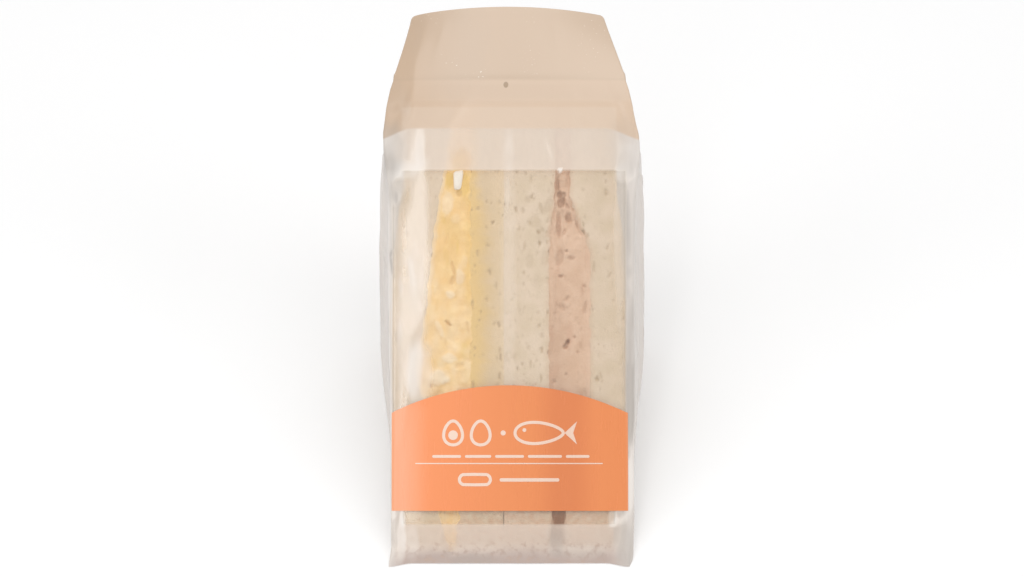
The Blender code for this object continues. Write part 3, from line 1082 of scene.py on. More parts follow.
@dataclass
class EggSalad(Layer):
    """Mashed egg: soft lumps, pieces of white, richer yolk, and hollows between them."""

    slot: Slot = Slot.EGG
    rim: float = 0.12
    milder_span: tuple = (68 * MM, 96 * MM)
    hollows: list = field(
        default_factory=lambda: marks(
            (-15.6, 112.9, 0.9, 1.2, 0, 0.45),
            (-17.4, 89.2, 0.5, 2.8, 16, 0.46),
            (-17.7, 85.4, 0.8, 1.7, -25, 0.50),
            (-18.9, 72.1, 1.3, 0.42, -43, 0.75),
            (-19.5, 65.4, 0.6, 1.8, 20, 0.30),
            (-15.5, 59.0, 1.6, 0.8, 15, 0.35),
            (-24.5, 52.4, 0.5, 0.9, 15, 0.55),
            (-12.9, 70.6, 0.5, 2.2, 8, 0.40),
            (-19.4, 98.6, 0.5, 2.4, -12, 0.26),
            (-21.0, 100.2, 0.5, 1.6, 0, 0.15),
            (-22.6, 78.0, 0.5, 2.2, -8, 0.15),
        )
    )
    yolks: list = field(
        default_factory=lambda: marks(
            (-18.7, 117.0, 1.4, 3.2, 0, 1.0),
            (-14.2, 115.6, 2.1, 4.4, 0, 0.85),
            (-16.0, 124.0, 3.0, 4.5, 0, 0.7),
            (-20.3, 104.2, 0.8, 1.2, 0, 0.6),
            (-16.1, 96.4, 0.55, 2.3, 0, 0.65),
            (-13.6, 62.9, 1.5, 3.4, 0, 0.85),
            (-22.3, 59.6, 2.7, 1.7, 0, 0.35),
            (-19.6, 93.0, 1.0, 3.5, 5, 0.35),
            (-17.6, 101.0, 2.6, 6.0, 0, 0.30),
            (-12.8, 84.0, 1.0, 6.0, 0, 0.45),
            (-13.0, 98.0, 1.0, 4.0, 0, 0.35),
            (-17.0, 48.0, 2.0, 2.5, 0, 0.4),
        )
    )
    pales: list = field(
        default_factory=lambda: marks(
            (-19.3, 109.8, 2.0, 3.6, 0, 0.50),
            (-15.3, 87.0, 1.4, 3.5, 0, 0.55),
            (-18.4, 81.1, 1.5, 1.7, 0, 0.65),
            (-13.3, 71.8, 1.7, 1.8, 0, 0.35),
            (-21.7, 70.5, 0.9, 3.7, 24, 0.55),
            (-18.0, 64.6, 1.8, 1.7, 0, 0.35),
            (-18.8, 61.3, 2.5, 1.8, 0, 0.70),
            (-21.9, 55.5, 3.2, 2.6, 0, 0.90),
            (-26.3, 64.1, 2.5, 2.9, 0, 0.60),
            (-14.2, 55.5, 2.1, 2.5, 0, 0.35),
            (-25.2, 57.6, 1.6, 1.8, 0, 0.35),
            (-16.6, 105.0, 1.6, 1.8, 0, 0.25),
            (-13.9, 91.5, 1.3, 2.0, 0, 0.25),
            (-23.0, 84.0, 1.0, 3.0, 0, 0.30),
            (-19.0, 40.0, 2.2, 1.8, 0, 0.7),
            (-17.0, 28.0, 1.6, 1.8, 0, 0.6),
            (-18.6, 15.0, 1.2, 1.4, 0, 0.5),
        )
    )

    def look(self, x: float, span: float, share: float) -> Look:
        """Lumps of mash with the hollows, yolk and white pieces that show in the photograph.

        Args:
            x: place across the pack.
            span: place up the cut face.
            share: place across this layer, 0 to 1.

        Returns:
            How the place departs from a flat, plain face.
        """
        at = Vector((x, span * 0.8, 5 * MM))
        lump = noise.noise(at / (4.6 * MM)) + 0.5 * noise.noise(at / (2.1 * MM))
        crumbs = noise.noise(at / (0.9 * MM))
        ragged = 0.32 * noise.noise(at / (1.5 * MM)) + 0.12 * crumbs
        hollow, yolk, pale = (
            max(mark.cover(x, span, ragged) for mark in group)
            for group in (self.hollows, self.yolks, self.pales)
        )
        recess = 0.46 * MM * (1 - lump) + 0.09 * MM * crumbs + 1.0 * MM * hollow - 0.4 * MM * pale
        recess *= mix(0.15, 1.0, smooth(0.0, self.rim, share) * smooth(0.0, self.rim, 1 - share))
        folds = smooth(0.05, 0.5, abs(noise.noise(at / (3.4 * MM) + Vector((7, 0, 0)))))
        # Painted shade: the hollows and the lines between folds are darkened.
        tone = max(0.85 * hollow, 0.13 * (1 - folds))
        rich = 0.18 * smooth(-0.1, 0.5, noise.noise(Vector((x, span * 0.5, 8 * MM)) / (6 * MM)))
        mustard = 0.42 * smooth(0.70, 1.0, share + 0.12 * lump)
        milder = 0.5 + 0.6 * noise.noise(at / (2.8 * MM) + Vector((0, 0, 4)))
        pale = max(pale, 0.55 * milder * (1 - smooth(*self.milder_span, span)))
        pale = max(pale, 0.6 * (1 - smooth(0.0, 0.16, share + 0.05 * lump)))
        return Look(max(0.0, recess), tone, max(yolk, rich, mustard) * (1 - 0.6 * pale), pale)


@dataclass
class TunaSalad(Layer):
    """A smooth tuna paste with flakes, brown pieces and a few holes."""

    slot: Slot = Slot.TUNA
    rim: float = 0.12
    flaky_span: tuple = (92 * MM, 102 * MM)
    dull_span: tuple = (70 * MM, 92 * MM)
    border_span: tuple = (84 * MM, 92 * MM)
    holes: list = field(
        default_factory=lambda: marks(
            (16.3, 110.2, 1.2, 1.9, -8, 0.52),
            (15.9, 112.4, 0.9, 1.5, 14, 0.50),
            (17.2, 112.6, 0.7, 0.9, 40, 0.38),
            (15.3, 115.4, 0.5, 2.4, 0, 0.26),
            (15.5, 103.4, 0.8, 4.6, 0, 0.30),
            (18.6, 105.3, 1.1, 1.8, 12, 0.34),
            (20.2, 108.4, 0.6, 1.2, -15, 0.24),
            (18.4, 108.8, 0.5, 1.6, 35, 0.24),
            (21.2, 104.0, 0.5, 2.2, 10, 0.22),
            (17.2, 100.6, 0.5, 1.6, -30, 0.22),
            (15.8, 92.5, 1.3, 2.8, -12, 0.24),
            (19.5, 92.6, 1.2, 0.65, 0, 0.26),
            (18.1, 94.8, 0.45, 0.5, 0, 0.32),
            (16.2, 86.9, 0.8, 0.6, 20, 0.34),
            (23.7, 83.8, 0.7, 0.5, 0, 0.26),
            (16.6, 77.1, 1.0, 1.5, 10, 0.22),
            (18.1, 79.9, 0.5, 1.1, -40, 0.20),
            (23.7, 77.1, 0.6, 2.2, -12, 0.20),
            (16.3, 72.6, 0.5, 2.3, 0, 0.12),
            (18.4, 66.3, 0.65, 0.95, -20, 0.62),
            (17.7, 64.9, 0.8, 0.85, 0, 0.46),
            (21.5, 63.2, 0.5, 0.45, 0, 0.24),
            (20.5, 67.9, 0.4, 0.4, 0, 0.24),
            (17.9, 56.2, 0.35, 0.4, 0, 0.26),
            (14.1, 54.0, 0.6, 0.7, 0, 0.22),
            (22.6, 70.2, 0.3, 0.9, 0, 0.14),
        )
    )
    browns: list = field(
        default_factory=lambda: marks(
            (15.4, 12.6, 2.6, 4.2, 0, 1.0),
            (14.4, 4.6, 3.2, 5.0, 0, 0.8),
            (15.2, 119.0, 0.7, 4.0, 0, 0.25),
            (16.2, 106.5, 0.9, 2.2, -20, 0.18),
            (19.6, 109.5, 1.0, 2.2, 10, 0.12),
        )
    )
    lumps: list = field(
        default_factory=lambda: marks(
            (19.6, 98.0, 3.8, 4.4, 0, 1.0),
            (15.4, 120.0, 1.2, 2.0, 0, 0.6),
            (18.6, 112.4, 1.3, 2.2, 10, 0.6),
            (18.0, 77.9, 1.0, 0.9, 0, 0.7),
            (13.6, 80.0, 0.8, 8.5, 0, 0.8),
            (14.2, 97.0, 0.7, 5.0, 8, 0.7),
            (17.4, 107.6, 0.7, 2.4, 30, 0.5),
            (25.2, 88.0, 0.8, 7.0, 6, 0.6),
            (20.6, 73.0, 1.6, 5.0, 0, 0.4),
            (22.6, 56.0, 1.5, 5.0, 0, 0.4),
        )
    )

    def look(self, x: float, span: float, share: float) -> Look:
        """Flaky relief above and smooth paste below, with holes and brown pieces.

        Args:
            x: place across the pack.
            span: place up the cut face.
            share: place across this layer, 0 to 1.

        Returns:
            How the place departs from a flat, plain face.
        """
        at = Vector((x, span * 0.7, 2 * MM))
        flake = noise.noise(at / (2.4 * MM)) + 0.4 * noise.noise(at / (1.0 * MM))
        flaky = mix(0.22, 1.0, smooth(*self.flaky_span, span))
        ragged = 0.3 * noise.noise(at / (1.2 * MM))
        hole = max(mark.cover(x, span, ragged) for mark in self.holes)
        lump = max(mark.cover(x, span, 0.6 * ragged) for mark in self.lumps)
        brown = max(mark.cover(x, span, ragged) for mark in self.browns)
        recess = 0.75 * MM * flaky * (1 - flake) + 1.9 * MM * hole - 0.5 * MM * lump + 0.35 * MM
        recess *= mix(0.3, 1.0, smooth(0.0, self.rim, share) * smooth(0.0, self.rim, 1 - share))
        streak = smooth(0.1, 0.6, noise.noise(Vector((x / 1.2, span / 4.5, 7 * MM)) / (1.6 * MM)))
        speck = smooth(0.42, 0.6, noise.noise(Vector((x, span * 0.8, 3 * MM)) / (1.3 * MM)))
        dull = 0.16 * (1 - smooth(0.2, 0.6, share)) * (1 - smooth(*self.dull_span, span))
        # Painted shade in the holes, beside the brown pieces, specks and a darker part near the left side
        # low down.
        tone = max(1.15 * hole, brown, 0.16 * speck + dull)
        border = 0.45 * smooth(0.78, 1.0, share) * (1 - smooth(*self.border_span, span))
        return Look(max(0.0, recess), tone, 0.45 * streak, max(0.35 * lump, border))


@dataclass
class EggWhite:
    """The squarish piece of boiled egg white that shows at the top of the clear front."""

    name: str = "egg_white_piece"
    x: float = -15.9 * MM
    span: float = 117.0 * MM
    half_x: float = 1.6 * MM
    half_span: float = 3.0 * MM
    half_depth: float = 1.3 * MM
    centre_depth: float = 1.0 * MM

    def build(self, finish: bpy.types.Material) -> bpy.types.Object:
        """Makes the piece as a block with rounded edges, narrower below, sunk in the mash.

        Args:
            finish: the egg white's material.

        Returns:
            The finished piece.
        """
        shape = bmesh.new()
        bmesh.ops.create_cube(shape, size=2.0)
        bmesh.ops.bevel(
            shape, geom=shape.edges[:], offset=0.42, segments=4, profile=0.5, affect="EDGES", material=-1
        )
        for vert in shape.verts:
            right, up, back = vert.co
            wide = 0.86 + 0.16 * up
            uneven = 1 + 0.08 * noise.noise(vert.co * 1.4)
            x = self.x + self.half_x * (right * wide + 0.10 * up) * uneven
            span = self.span + self.half_span * (up + 0.05 * right) * uneven
            vert.co = PACK.point(x, span, self.centre_depth + self.half_depth * back * uneven)
        return finished(self.name, shape, finish)


# The film


@dataclass(frozen=True)
class Crease:
    """A soft ridge or groove along a line of the film's own map, in millimetres."""

    across_0: float
    span_0: float
    across_1: float
    span_1: float
    width: float
    height: float

    def lift(self, across: float, span: float) -> float:
        """How far the film stands out at a place of its map.

        Args:
            across: place across the film's map, in millimetres.
            span: place up it, in millimetres.

        Returns:
            The height in millimetres.
        """
        along = Vector((self.across_1 - self.across_0, self.span_1 - self.span_0))
        from_start = Vector((across - self.across_0, span - self.span_0))
        share = min(1.0, max(0.0, from_start.dot(along) / along.length_squared))
        reach = (from_start - along * share).length
        if reach > 3 * self.width:
            return 0.0
        fade = math.sin(math.pi * min(1.0, max(0.0, 0.12 + 0.76 * share)))
        return self.height * hump(reach, self.width) * fade


@dataclass
class FilmBag:
    """The film pack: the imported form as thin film, with its creases, seam and sealed flap."""

    name: str = "film"
    nose_span: float = -2.4 * MM
    nose_ear: float = 1.4 * MM
    body_half: float = 37.9 * MM
    nose_half: float = 37.4 * MM
    shoulder_half: float = 40.3 * MM
    shoulder_span: float = 132 * MM
    shoulder_start: float = 108 * MM
    back_flare: float = 2.2 * MM
    side_bulge: float = 3.9 * MM
    side_tuck: float = 4.0 * MM
    side_drift: tuple = ((0, 1.3), (100, 0.8), (112, 0.95), (130, 0.95), (148, 0.3), (172, -0.5))
    edge_radius: float = 2.2 * MM
    edge_radius_top: float = 1.2 * MM
    heel_radius: float = 3.0 * MM
    shoulders: tuple = ((132, 40.3), (140, 39.4), (146, 38.2), (150, 36.9), (152, 35.9), (172, 30.4))
    gable_below: float = 16 * MM
    flap_root_above: float = 9.6 * MM
    flap_top_above: float = 30.6 * MM
    flap_corner: float = 1.3 * MM
    flap_thickness: float = 1.2 * MM
    flap_lean: float = math.radians(9)
    flap_sweep: float = 7 * MM
    flap_arch: float = 1.6 * MM
    seam_columns: int = 3
    seam_height: float = 0.6 * MM
    seam_milk: float = 0.18
    seam_start: float = 80 * MM
    front_columns: int = 150
    side_columns: int = 54
    back_columns: int = 44
    facet_left: tuple = (
        (0, -34.0),
        (45, -34.2),
        (84, -34.0),
        (93, -33.8),
        (102, -33.3),
        (109.5, -30.5),
        (118.5, -29.2),
    )
    facet_right: tuple = (
        (0, -25.9),
        (46, -25.9),
        (49, -28.2),
        (55.5, -30.0),
        (61.5, -30.3),
        (68, -29.9),
        (73.6, -27.0),
        (78.9, -25.0),
        (84.2, -24.2),
        (93, -24.4),
        (102, -25.3),
        (118.5, -25.9),
    )
    facet_slope: float = 0.069
    facet_softness: float = 1.5 * MM
    gap_facet: tuple = (-2.0 * MM, 1.9 * MM)
    gap_return: tuple = (-8 * MM, -5 * MM)
    gap_slope: float = 0.058
    gap_spans: tuple = (54 * MM, 64 * MM, 112 * MM, 121 * MM)
    side_dip: float = 0.6 * MM
    swell_spans: tuple = (28 * MM, 68 * MM, 106 * MM, 134 * MM)
    edge_spans: tuple = (112 * MM, 134 * MM)
    turned_spans: tuple = (124 * MM, 136 * MM)
    turned_slope: float = 0.42
    turned_line: tuple = ((128, -36.0), (133, -33.1), (138, -30.4), (155, -29.5), (168, -26.1))
    creases: list = field(
        default_factory=lambda: [
            Crease(-32, 148.6, 32, 148.6, 0.9, -0.12),
            Crease(41.0, 119.6, 51.0, 116, 0.6, 0.5),
            Crease(-39.5, 95, -45.0, 93.6, 0.6, 0.45),
            Crease(-45.0, 93.6, -39.5, 87.5, 0.6, 0.45),
            Crease(44, 118, 56, 66, 1.6, 0.8),
            Crease(42, 104, 47, 50, 1.2, -0.4),
            Crease(-43, 120, -52, 70, 1.5, 0.8),
            Crease(-42, 84, -45, 40, 1.1, -0.4),
            Crease(-60, 92, -48, 40, 1.6, 0.6),
            Crease(60, 94, 50, 36, 1.6, 0.6),
            Crease(-34, 34, -30, 60, 1.4, 0.08),
            Crease(33, 30, 35, 62, 1.2, 0.08),
            Crease(-20, 167, -24, 153, 1.5, 0.18),
            Crease(14, 168, 16, 154, 1.8, -0.15),
            Crease(-31, 147, -37, 133, 1.5, -0.30),
            Crease(31, 147, 37, 133, 1.5, -0.30),
            Crease(-12, 145, -20, 132, 1.8, -0.12),
            Crease(20, 144, 24, 132, 1.8, 0.12),
            Crease(12, 131, 15.5, 121, 1.3, 0.20),
            Crease(-27, 131, -26, 121, 1.6, 0.20),
        ]
    )
    # Patches of milky film and painted highlights: glare streaks down the left and middle of the front and
    # small glints; negative ones thin the film.
    milk_and_highlight_patches: list = field(
        default_factory=lambda: marks(
            (-37.0, 62.0, 3.4, 62.0, 0, 0.30),
            (-35.6, 116.5, 4.2, 7.0, 0, 0.36),
            (-36.4, 119.5, 3.0, 3.0, 0, 0.40),
            (-33.5, 120.0, 5.0, 3.0, 0, 0.34),
            (-34.6, 105.0, 2.0, 10.0, 0, 0.22),
            (-28.6, 104.0, 4.0, 26.0, 0, 0.42),
            (-30.5, 70.0, 4.6, 24.0, 0, 0.44),
            (-28.0, 56.0, 4.4, 11.0, 0, 0.44),
            (34.6, 98.0, 2.0, 27.0, 0, 0.34),
            (36.0, 119.0, 3.0, 3.4, 0, 0.40),
            (-0.2, 88.0, 2.7, 44.0, 0, 0.20),
            (-0.4, 112.5, 0.8, 5.0, 0, 0.16),
            (16.0, 120.0, 0.8, 0.8, 0, 0.80),
            (-15.0, 123.0, 3.4, 4.0, 0, -0.16),
            (-33.0, 11.6, 1.0, 3.0, 0, 0.55),
            (32.4, 11.6, 1.6, 3.0, 0, 0.42),
            (-33.5, 5.0, 1.5, 7.0, 0, 0.36),
            (-30.6, 4.0, 2.6, 6.0, 0, 0.20),
            (14.8, 5.6, 3.0, 4.6, 0, -0.19),
            (-18.6, 4.5, 2.6, 4.4, 0, -0.13),
            (39.4, 31.0, 1.6, 12.0, 0, 0.45),
            (-36.2, 12.3, 1.0, 1.3, 0, 0.35),
            (34.2, 10.6, 2.8, 1.3, 24, 0.34),
            (37.4, 21.0, 1.7, 9.0, 0, 0.60),
            (-27.8, 127.0, 1.7, 9.0, 0, 0.16),
        )
    )
    shades: list = field(
        default_factory=lambda: marks(
            (-33.7, 111.7, 2.0, 4.6, 0, 0.34),
            (-34.4, 97.0, 1.2, 14.0, 2, 0.22),
            (-36.6, 89.5, 0.8, 3.6, 16, 0.35),
            (-36.4, 57.0, 0.9, 11.0, 3, 0.30),
            (-37.2, 84.0, 0.7, 22.0, 0, 0.20),
            (36.5, 100.0, 1.5, 19.0, 0, 0.62),
            (37.0, 66.0, 1.6, 22.0, -2, 0.55),
            (39.0, 62.0, 2.2, 20.0, 0, 0.40),
            (42.0, 56.0, 5.0, 9.0, 0, 0.22),
            (-34.0, 62.0, 0.8, 30.0, 0, 0.10),
            (-38.6, 127.0, 7.0, 9.0, 0, 0.48),
            (-39.0, 118.0, 5.6, 9.0, 0, 0.46),
            (36.5, 122.0, 3.0, 5.0, 0, 0.24),
            (35.5, 127.0, 5.6, 9.0, 0, 0.16),
            (-36.0, 139.0, 5.0, 13.0, 0, 0.12),
            (-36.6, 3.0, 1.6, 7.0, 0, 0.22),
            (-43.0, 54.0, 4.0, 5.0, 0, 0.30),
            (-41.0, 96.0, 2.4, 4.0, 30, 0.24),
            (-45.0, 88.0, 2.4, 6.0, -15, 0.18),
            (-37.5, 94.0, 1.5, 0.8, 38, 0.45),
            (-37.4, 89.8, 3.9, 0.7, -73, 0.45),
            (33.0, 4.0, 7.0, 6.0, 0, 0.08),
            (14.9, 6.6, 3.8, 3.0, 8, 0.30),
            (14.4, 2.4, 2.4, 3.6, -6, 0.26),
            (21.0, 1.2, 9.0, 2.4, 0, 0.24),
            (-11.0, -1.4, 8.0, 2.2, 0, 0.36),
            (36.6, 2.0, 3.8, 8.0, 0, 0.42),
            (38.4, 102.0, 1.8, 17.0, 0, 0.34),
            (37.8, 45.0, 1.4, 13.0, 0, 0.98),
            (36.2, 2.0, 2.4, 8.0, 0, 0.20),
            (-39.6, 55.0, 1.6, 4.0, 0, 0.50),
            (-36.4, 101.0, 1.8, 18.0, 0, 0.32),
            (-19.0, 160.0, 13.0, 18.0, 0, 0.09),
        )
    )
    gable_start: float = field(init=False)
    flap_root: float = field(init=False)
    flap_top: float = field(init=False)

    def __post_init__(self) -> None:
        """Works out the spans where the back turns into the flap."""
        self.gable_start = PACK.cut_span - self.gable_below
        self.flap_root = PACK.cut_span + self.flap_root_above
        self.flap_top = PACK.cut_span + self.flap_top_above

    def edge(self, span: float) -> float:
        """Radius of the film's long edges."""
        return mix(self.edge_radius, self.edge_radius_top, smooth(*self.edge_spans, span))

    def half_front(self, span: float) -> float:
        """Half the width of the film's front.

        Args:
            span: place up the cut face.

        Returns:
            Half the width in metres.
        """
        if span > self.shoulder_span:
            near_top = max(0.0, span - self.flap_top + self.flap_corner)
            rounded = self.flap_corner - math.sqrt(max(0.0, self.flap_corner**2 - near_top**2))
            return between(self.shoulders, span / MM) * MM - rounded
        nose = (self.body_half - self.nose_half) * (1 - smooth(self.nose_span, 12 * MM, span))
        rise = smooth(self.shoulder_start, self.shoulder_span, span)
        return self.body_half - nose + (self.shoulder_half - self.body_half) * rise

    def half_back(self, span: float) -> float:
        """Half the width of the film's back, which flares towards the heel of the wedge.

        Args:
            span: place up the cut face.

        Returns:
            Half the width in metres.
        """
        middle = PACK.corner_depth
        flare = plateau((self.nose_span, middle, middle, self.shoulder_span), span)
        return self.half_front(span) + self.back_flare * flare

    def side_swell(self, span: float) -> float:
        """How far the film's side stands out at mid depth, or tucks in (negative).

        Args:
            span: place up the cut face.

        Returns:
            The distance in metres, negative where it tucks in.
        """
        swell = plateau(self.swell_spans, span)
        gable = (span - self.gable_start) / (self.flap_root - self.gable_start)
        tuck = math.sin(math.pi * min(1.0, max(0.0, gable)))
        return self.side_bulge * swell - self.side_tuck * tuck

    def depth_front(self, span: float) -> float:
        """Depth of the film's front."""
        return -PACK.standoff + max(0.0, span - PACK.cut_span) * math.tan(self.flap_lean)

    def depth_back(self, span: float) -> float:
        """Depth of the film's back: bottom leg, heel, back leg, gable and flap.

        Args:
            span: place up the cut face.

        Returns:
            The depth in metres.
        """
        outset = PACK.standoff * math.sqrt(2)
        heel, corner = self.heel_radius, PACK.corner_depth
        if span < corner - heel:
            return span + outset
        if span < corner + heel:
            return corner + outset - heel / 2 - (span - corner) ** 2 / (2 * heel)
        if span < self.gable_start:
            return PACK.cut_span + outset - span
        if span < self.flap_root:
            share = (span - self.gable_start) / (self.flap_root - self.gable_start)
            start = PACK.cut_span + outset - self.gable_start
            return mix(start, self.depth_front(self.flap_root) + self.flap_thickness, share)
        return self.depth_front(span) + self.flap_thickness

    def stations(self) -> list[float]:
        """The spans of the film's rings, closer where its form turns.

        Returns:
            The spans in metres, from the lower edge to the flap's top.
        """
        corner, heel = PACK.corner_depth, self.heel_radius
        return [
            *evenly(self.nose_span, 12 * MM, 16),
            *evenly(12 * MM, corner - heel, 50),
            *evenly(corner - heel, corner + heel, 10),
            *evenly(corner + heel, 112 * MM, 40),
            *evenly(112 * MM, self.flap_root, 52),
            *evenly(self.flap_root, self.flap_top - self.flap_corner, 22),
            *evenly(self.flap_top - self.flap_corner, self.flap_top, 9),
            self.flap_top,
        ]

    def outline(self, span: float) -> list[tuple[float, float, float]]:
        """The film's outline at one span, from the middle of the back all the way round.

        Args:
            span: place up the cut face.

        Returns:
            Points as x, depth and distance round the outline from the middle of the front.
        """
        front, back = self.depth_front(span), self.depth_back(span)
        wide_front, wide_back = self.half_front(span), self.half_back(span)
        radius = min(self.edge(span), (back - front) * 0.4)
        lift = self.seam_height if self.seam_start < span < self.flap_root else 0.0
        right: list[tuple[float, float]] = []
        for share in evenly(0, 1, self.front_columns // 2):
            right.append(((wide_front - radius) * share, front))
        for angle in evenly(-90, 0, 5):
            turn = math.radians(angle)
            x = wide_front - radius + radius * math.cos(turn)
            right.append((x, front + radius + radius * math.sin(turn)))
        for share in evenly(0, 1, self.side_columns):
            x = mix(wide_front, wide_back, share)
            right.append((x, mix(front + radius, back - radius, share)))
        for angle in evenly(0, 90, 5):
            turn = math.radians(angle)
            x = wide_back - radius + radius * math.cos(turn)
            right.append((x, back - radius + radius * math.sin(turn)))
        half = self.back_columns // 2
        for column in range(half, 0, -1):
            x = (wide_back - radius) * column / half
            right.append((x, back + (lift if column <= self.seam_columns else 0.0)))
        right.append((0.0, back + lift))
        swell = self.side_swell(span)
        placed, travelled, last = [], 0.0, right[0]
        for x, depth in right:
            travelled += math.hypot(x - last[0], depth - last[1])
            last = (x, depth)
            share = min(1.0, max(0.0, (depth - front) / (back - front)))
            out = swell * smooth(0.75, 0.98, x / wide_front) * math.sin(math.pi * share)
            placed.append((x + out, depth, travelled))
        return [(-x, depth, -far) for x, depth, far in reversed(placed[1:])] + placed

    def crown(self, x: float, span: float) -> float:
        """How far the film's front sinks between the sandwiches and towards its sides, in metres.

        Args:
            x: place across the pack.
            span: place up the cut face.

        Returns:
            The height in metres, negative where it sinks.
        """
        facet = [between(line, span / MM) * MM for line in (self.facet_left, self.facet_right)]
        sunk = self.facet_slope * slope_between(facet, x, self.facet_softness)
        slope = self.gap_slope * plateau(self.gap_spans, span)
        sunk += slope * slope_between(self.gap_facet, x, 0.6 * MM)
        sunk -= slope * slope_between(self.gap_return, x, 2 * MM)
        edge = self.body_half - 1.0 * MM
        sunk += self.side_dip * (1 - smooth(0.0, 1.0, (edge - x) / (9 * MM)))
        inside = plateau((0, 14 * MM, 128 * MM, 140 * MM), span)
        slow = 0.03 * MM * noise.noise(Vector((x / (11 * MM), span / (50 * MM), 0.5)))
        return (slow - sunk) * inside

    def ripple(self, x: float, span: float, depth: float, across: float) -> float:
        """How far soft creases lift the film at a place, in metres.

        Args:
            x: place across the pack.
            span: place up the cut face.
            depth: place behind the cut face.
            across: place round the film from the middle of its front.

        Returns:
            The height in metres, negative where it sinks.
        """
        a, s = across / MM, span / MM
        lift = sum(crease.lift(a, s) for crease in self.creases)
        edge = smooth(37.5, 44, abs(a)) * (1 - smooth(140, 152, s))
        if edge > 0:
            for height, sizes in ((0.50, (12, 34, 7)), (0.16, (5, 14, 3))):
                at = Vector([place / size for place, size in zip((x, span, depth), sizes)]) / MM
                lift += height * edge * noise.noise(at)
        return lift * MM

    @staticmethod
    def patches(patches: list, across: float, span: float) -> float:
        """How milky or lit by a painted highlight, or how darkened by painted shade, the film is at a
        place of its map, from a list of soft patches.
        """
        ragged = 0.22 * noise.noise(Vector((across / 2.5, span / 6, 3 * MM)) / MM)
        return min(1.0, sum(patch.cover(across, span, ragged) for patch in patches))

    def placed(self, x: float, span: float, depth: float) -> Vector:
        """The room's point of the film, with the flap swept back and the sides adrift.

        Args:
            x: place across the pack.
            span: place up the cut face.
            depth: place behind the cut face.

        Returns:
            The point in the row frame.
        """
        aside = min(1.2, abs(x) / self.half_front(span))
        up_flap = smooth(PACK.cut_span, self.flap_top, span)
        drift = between(self.side_drift, span / MM) * MM
        turned = self.turned_slope * smooth(*self.turned_spans, span)
        turned *= soft_ramp(between(self.turned_line, span / MM) * MM - x, 0.7 * MM)
        x += drift * max(up_flap, smooth(0, self.edge(span), depth - self.depth_front(span)))
        swept = depth + self.flap_sweep * up_flap * aside**2 + turned
        lowered = span - self.flap_arch * up_flap * aside**2
        ear = self.nose_ear * smooth(0.8, 1.0, aside) * (1 - smooth(self.nose_span, 6 * MM, span))
        return PACK.point(x, lowered, swept) - Vector((0, ear, 0))

    def front_point(self, x: float, span: float, above: float) -> Vector:
        """The point that lies a little above the film's front.

        Args:
            x: place across the pack.
            span: place up the cut face.
            above: how far the point is lifted off the film.

        Returns:
            The point in the row frame.
        """
        front = self.depth_front(span)
        past_flat = max(0.0, abs(x) - self.half_front(span) + self.edge_radius)
        rounded = self.edge_radius - math.sqrt(self.edge_radius**2 - past_flat**2)
        lift = self.crown(x, span) * (1 - rounded / self.edge_radius) - rounded
        return self.placed(x, span, front - lift - self.ripple(x, span, front, x) - above)

    def build(self, finish: bpy.types.Material) -> bpy.types.Object:
        """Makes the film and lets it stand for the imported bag.

        Args:
            finish: the printed film's material.

        Returns:
            The finished piece.
        """
        spans = self.stations()
        rings = [self.outline(span) for span in spans]
        columns, rows = len(rings[0]) - 1, len(spans) - 1
        shape = new_grid(columns, rows)
        printed = shape.loops.layers.uv.new("pack")
        seen = {name: shape.verts.layers.float.new(name) for name in ("milk_and_highlight", "shade")}
        place = {
            vert: (round((vert.co.x + 0.5) * columns), round((vert.co.y + 0.5) * rows))
            for vert in shape.verts
        }
        for face in shape.faces:
            for loop in face.loops:
                column, row = place[loop.vert]
                loop[printed].uv = (rings[row][column][2] / UV_UNIT, spans[row] / UV_UNIT)
        for vert, (column, row) in place.items():
            x, depth, _ = rings[row][column]
            vert.co = self.placed(x, spans[row], depth)
        shape.normal_update()
        outwards = 1 if self.faces_out(shape) else -1
        behind = Vector((0, 1, -1)).normalized()
        for vert, (column, row) in place.items():
            x, depth, across = rings[row][column]
            span = spans[row]
            lift = self.ripple(x, span, depth, across)
            near_front = 1 - (depth - self.depth_front(span)) / self.edge(span)
            lift += self.crown(x, span) * max(0.0, near_front)
            from_middle = min(column, columns - column)
            on_seam = from_middle <= self.seam_columns and self.seam_start < span < self.flap_root
            vert[seen["milk_and_highlight"]] = self.patches(self.milk_and_highlight_patches, across, span) + self.seam_milk * on_seam
            vert[seen["shade"]] = self.patches(self.shades, across, span)
            vert.co += (vert.normal * outwards if from_middle else behind) * lift
            vert.co.z = max(0.0, vert.co.z)
        bmesh.ops.remove_doubles(shape, verts=shape.verts[:], dist=1e-6)
        rim = [edge for edge in shape.edges if edge.is_boundary]
        bmesh.ops.holes_fill(shape, edges=rim, sides=0)
        piece = finished(self.name, shape, finish)
        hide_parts("film_bag")
        return piece

    @staticmethod
    def faces_out(shape: bmesh.types.BMesh) -> bool:
        """Whether the sheet's faces look away from its own middle.

        Args:
            shape: the sheet's mesh.

        Returns:
            True if most of the area looks outwards.
        """
        middle = sum((vert.co for vert in shape.verts), Vector()) / len(shape.verts)
        votes = sum((face.calc_center_median() - middle).dot(face.normal) for face in shape.faces)
        return votes > 0


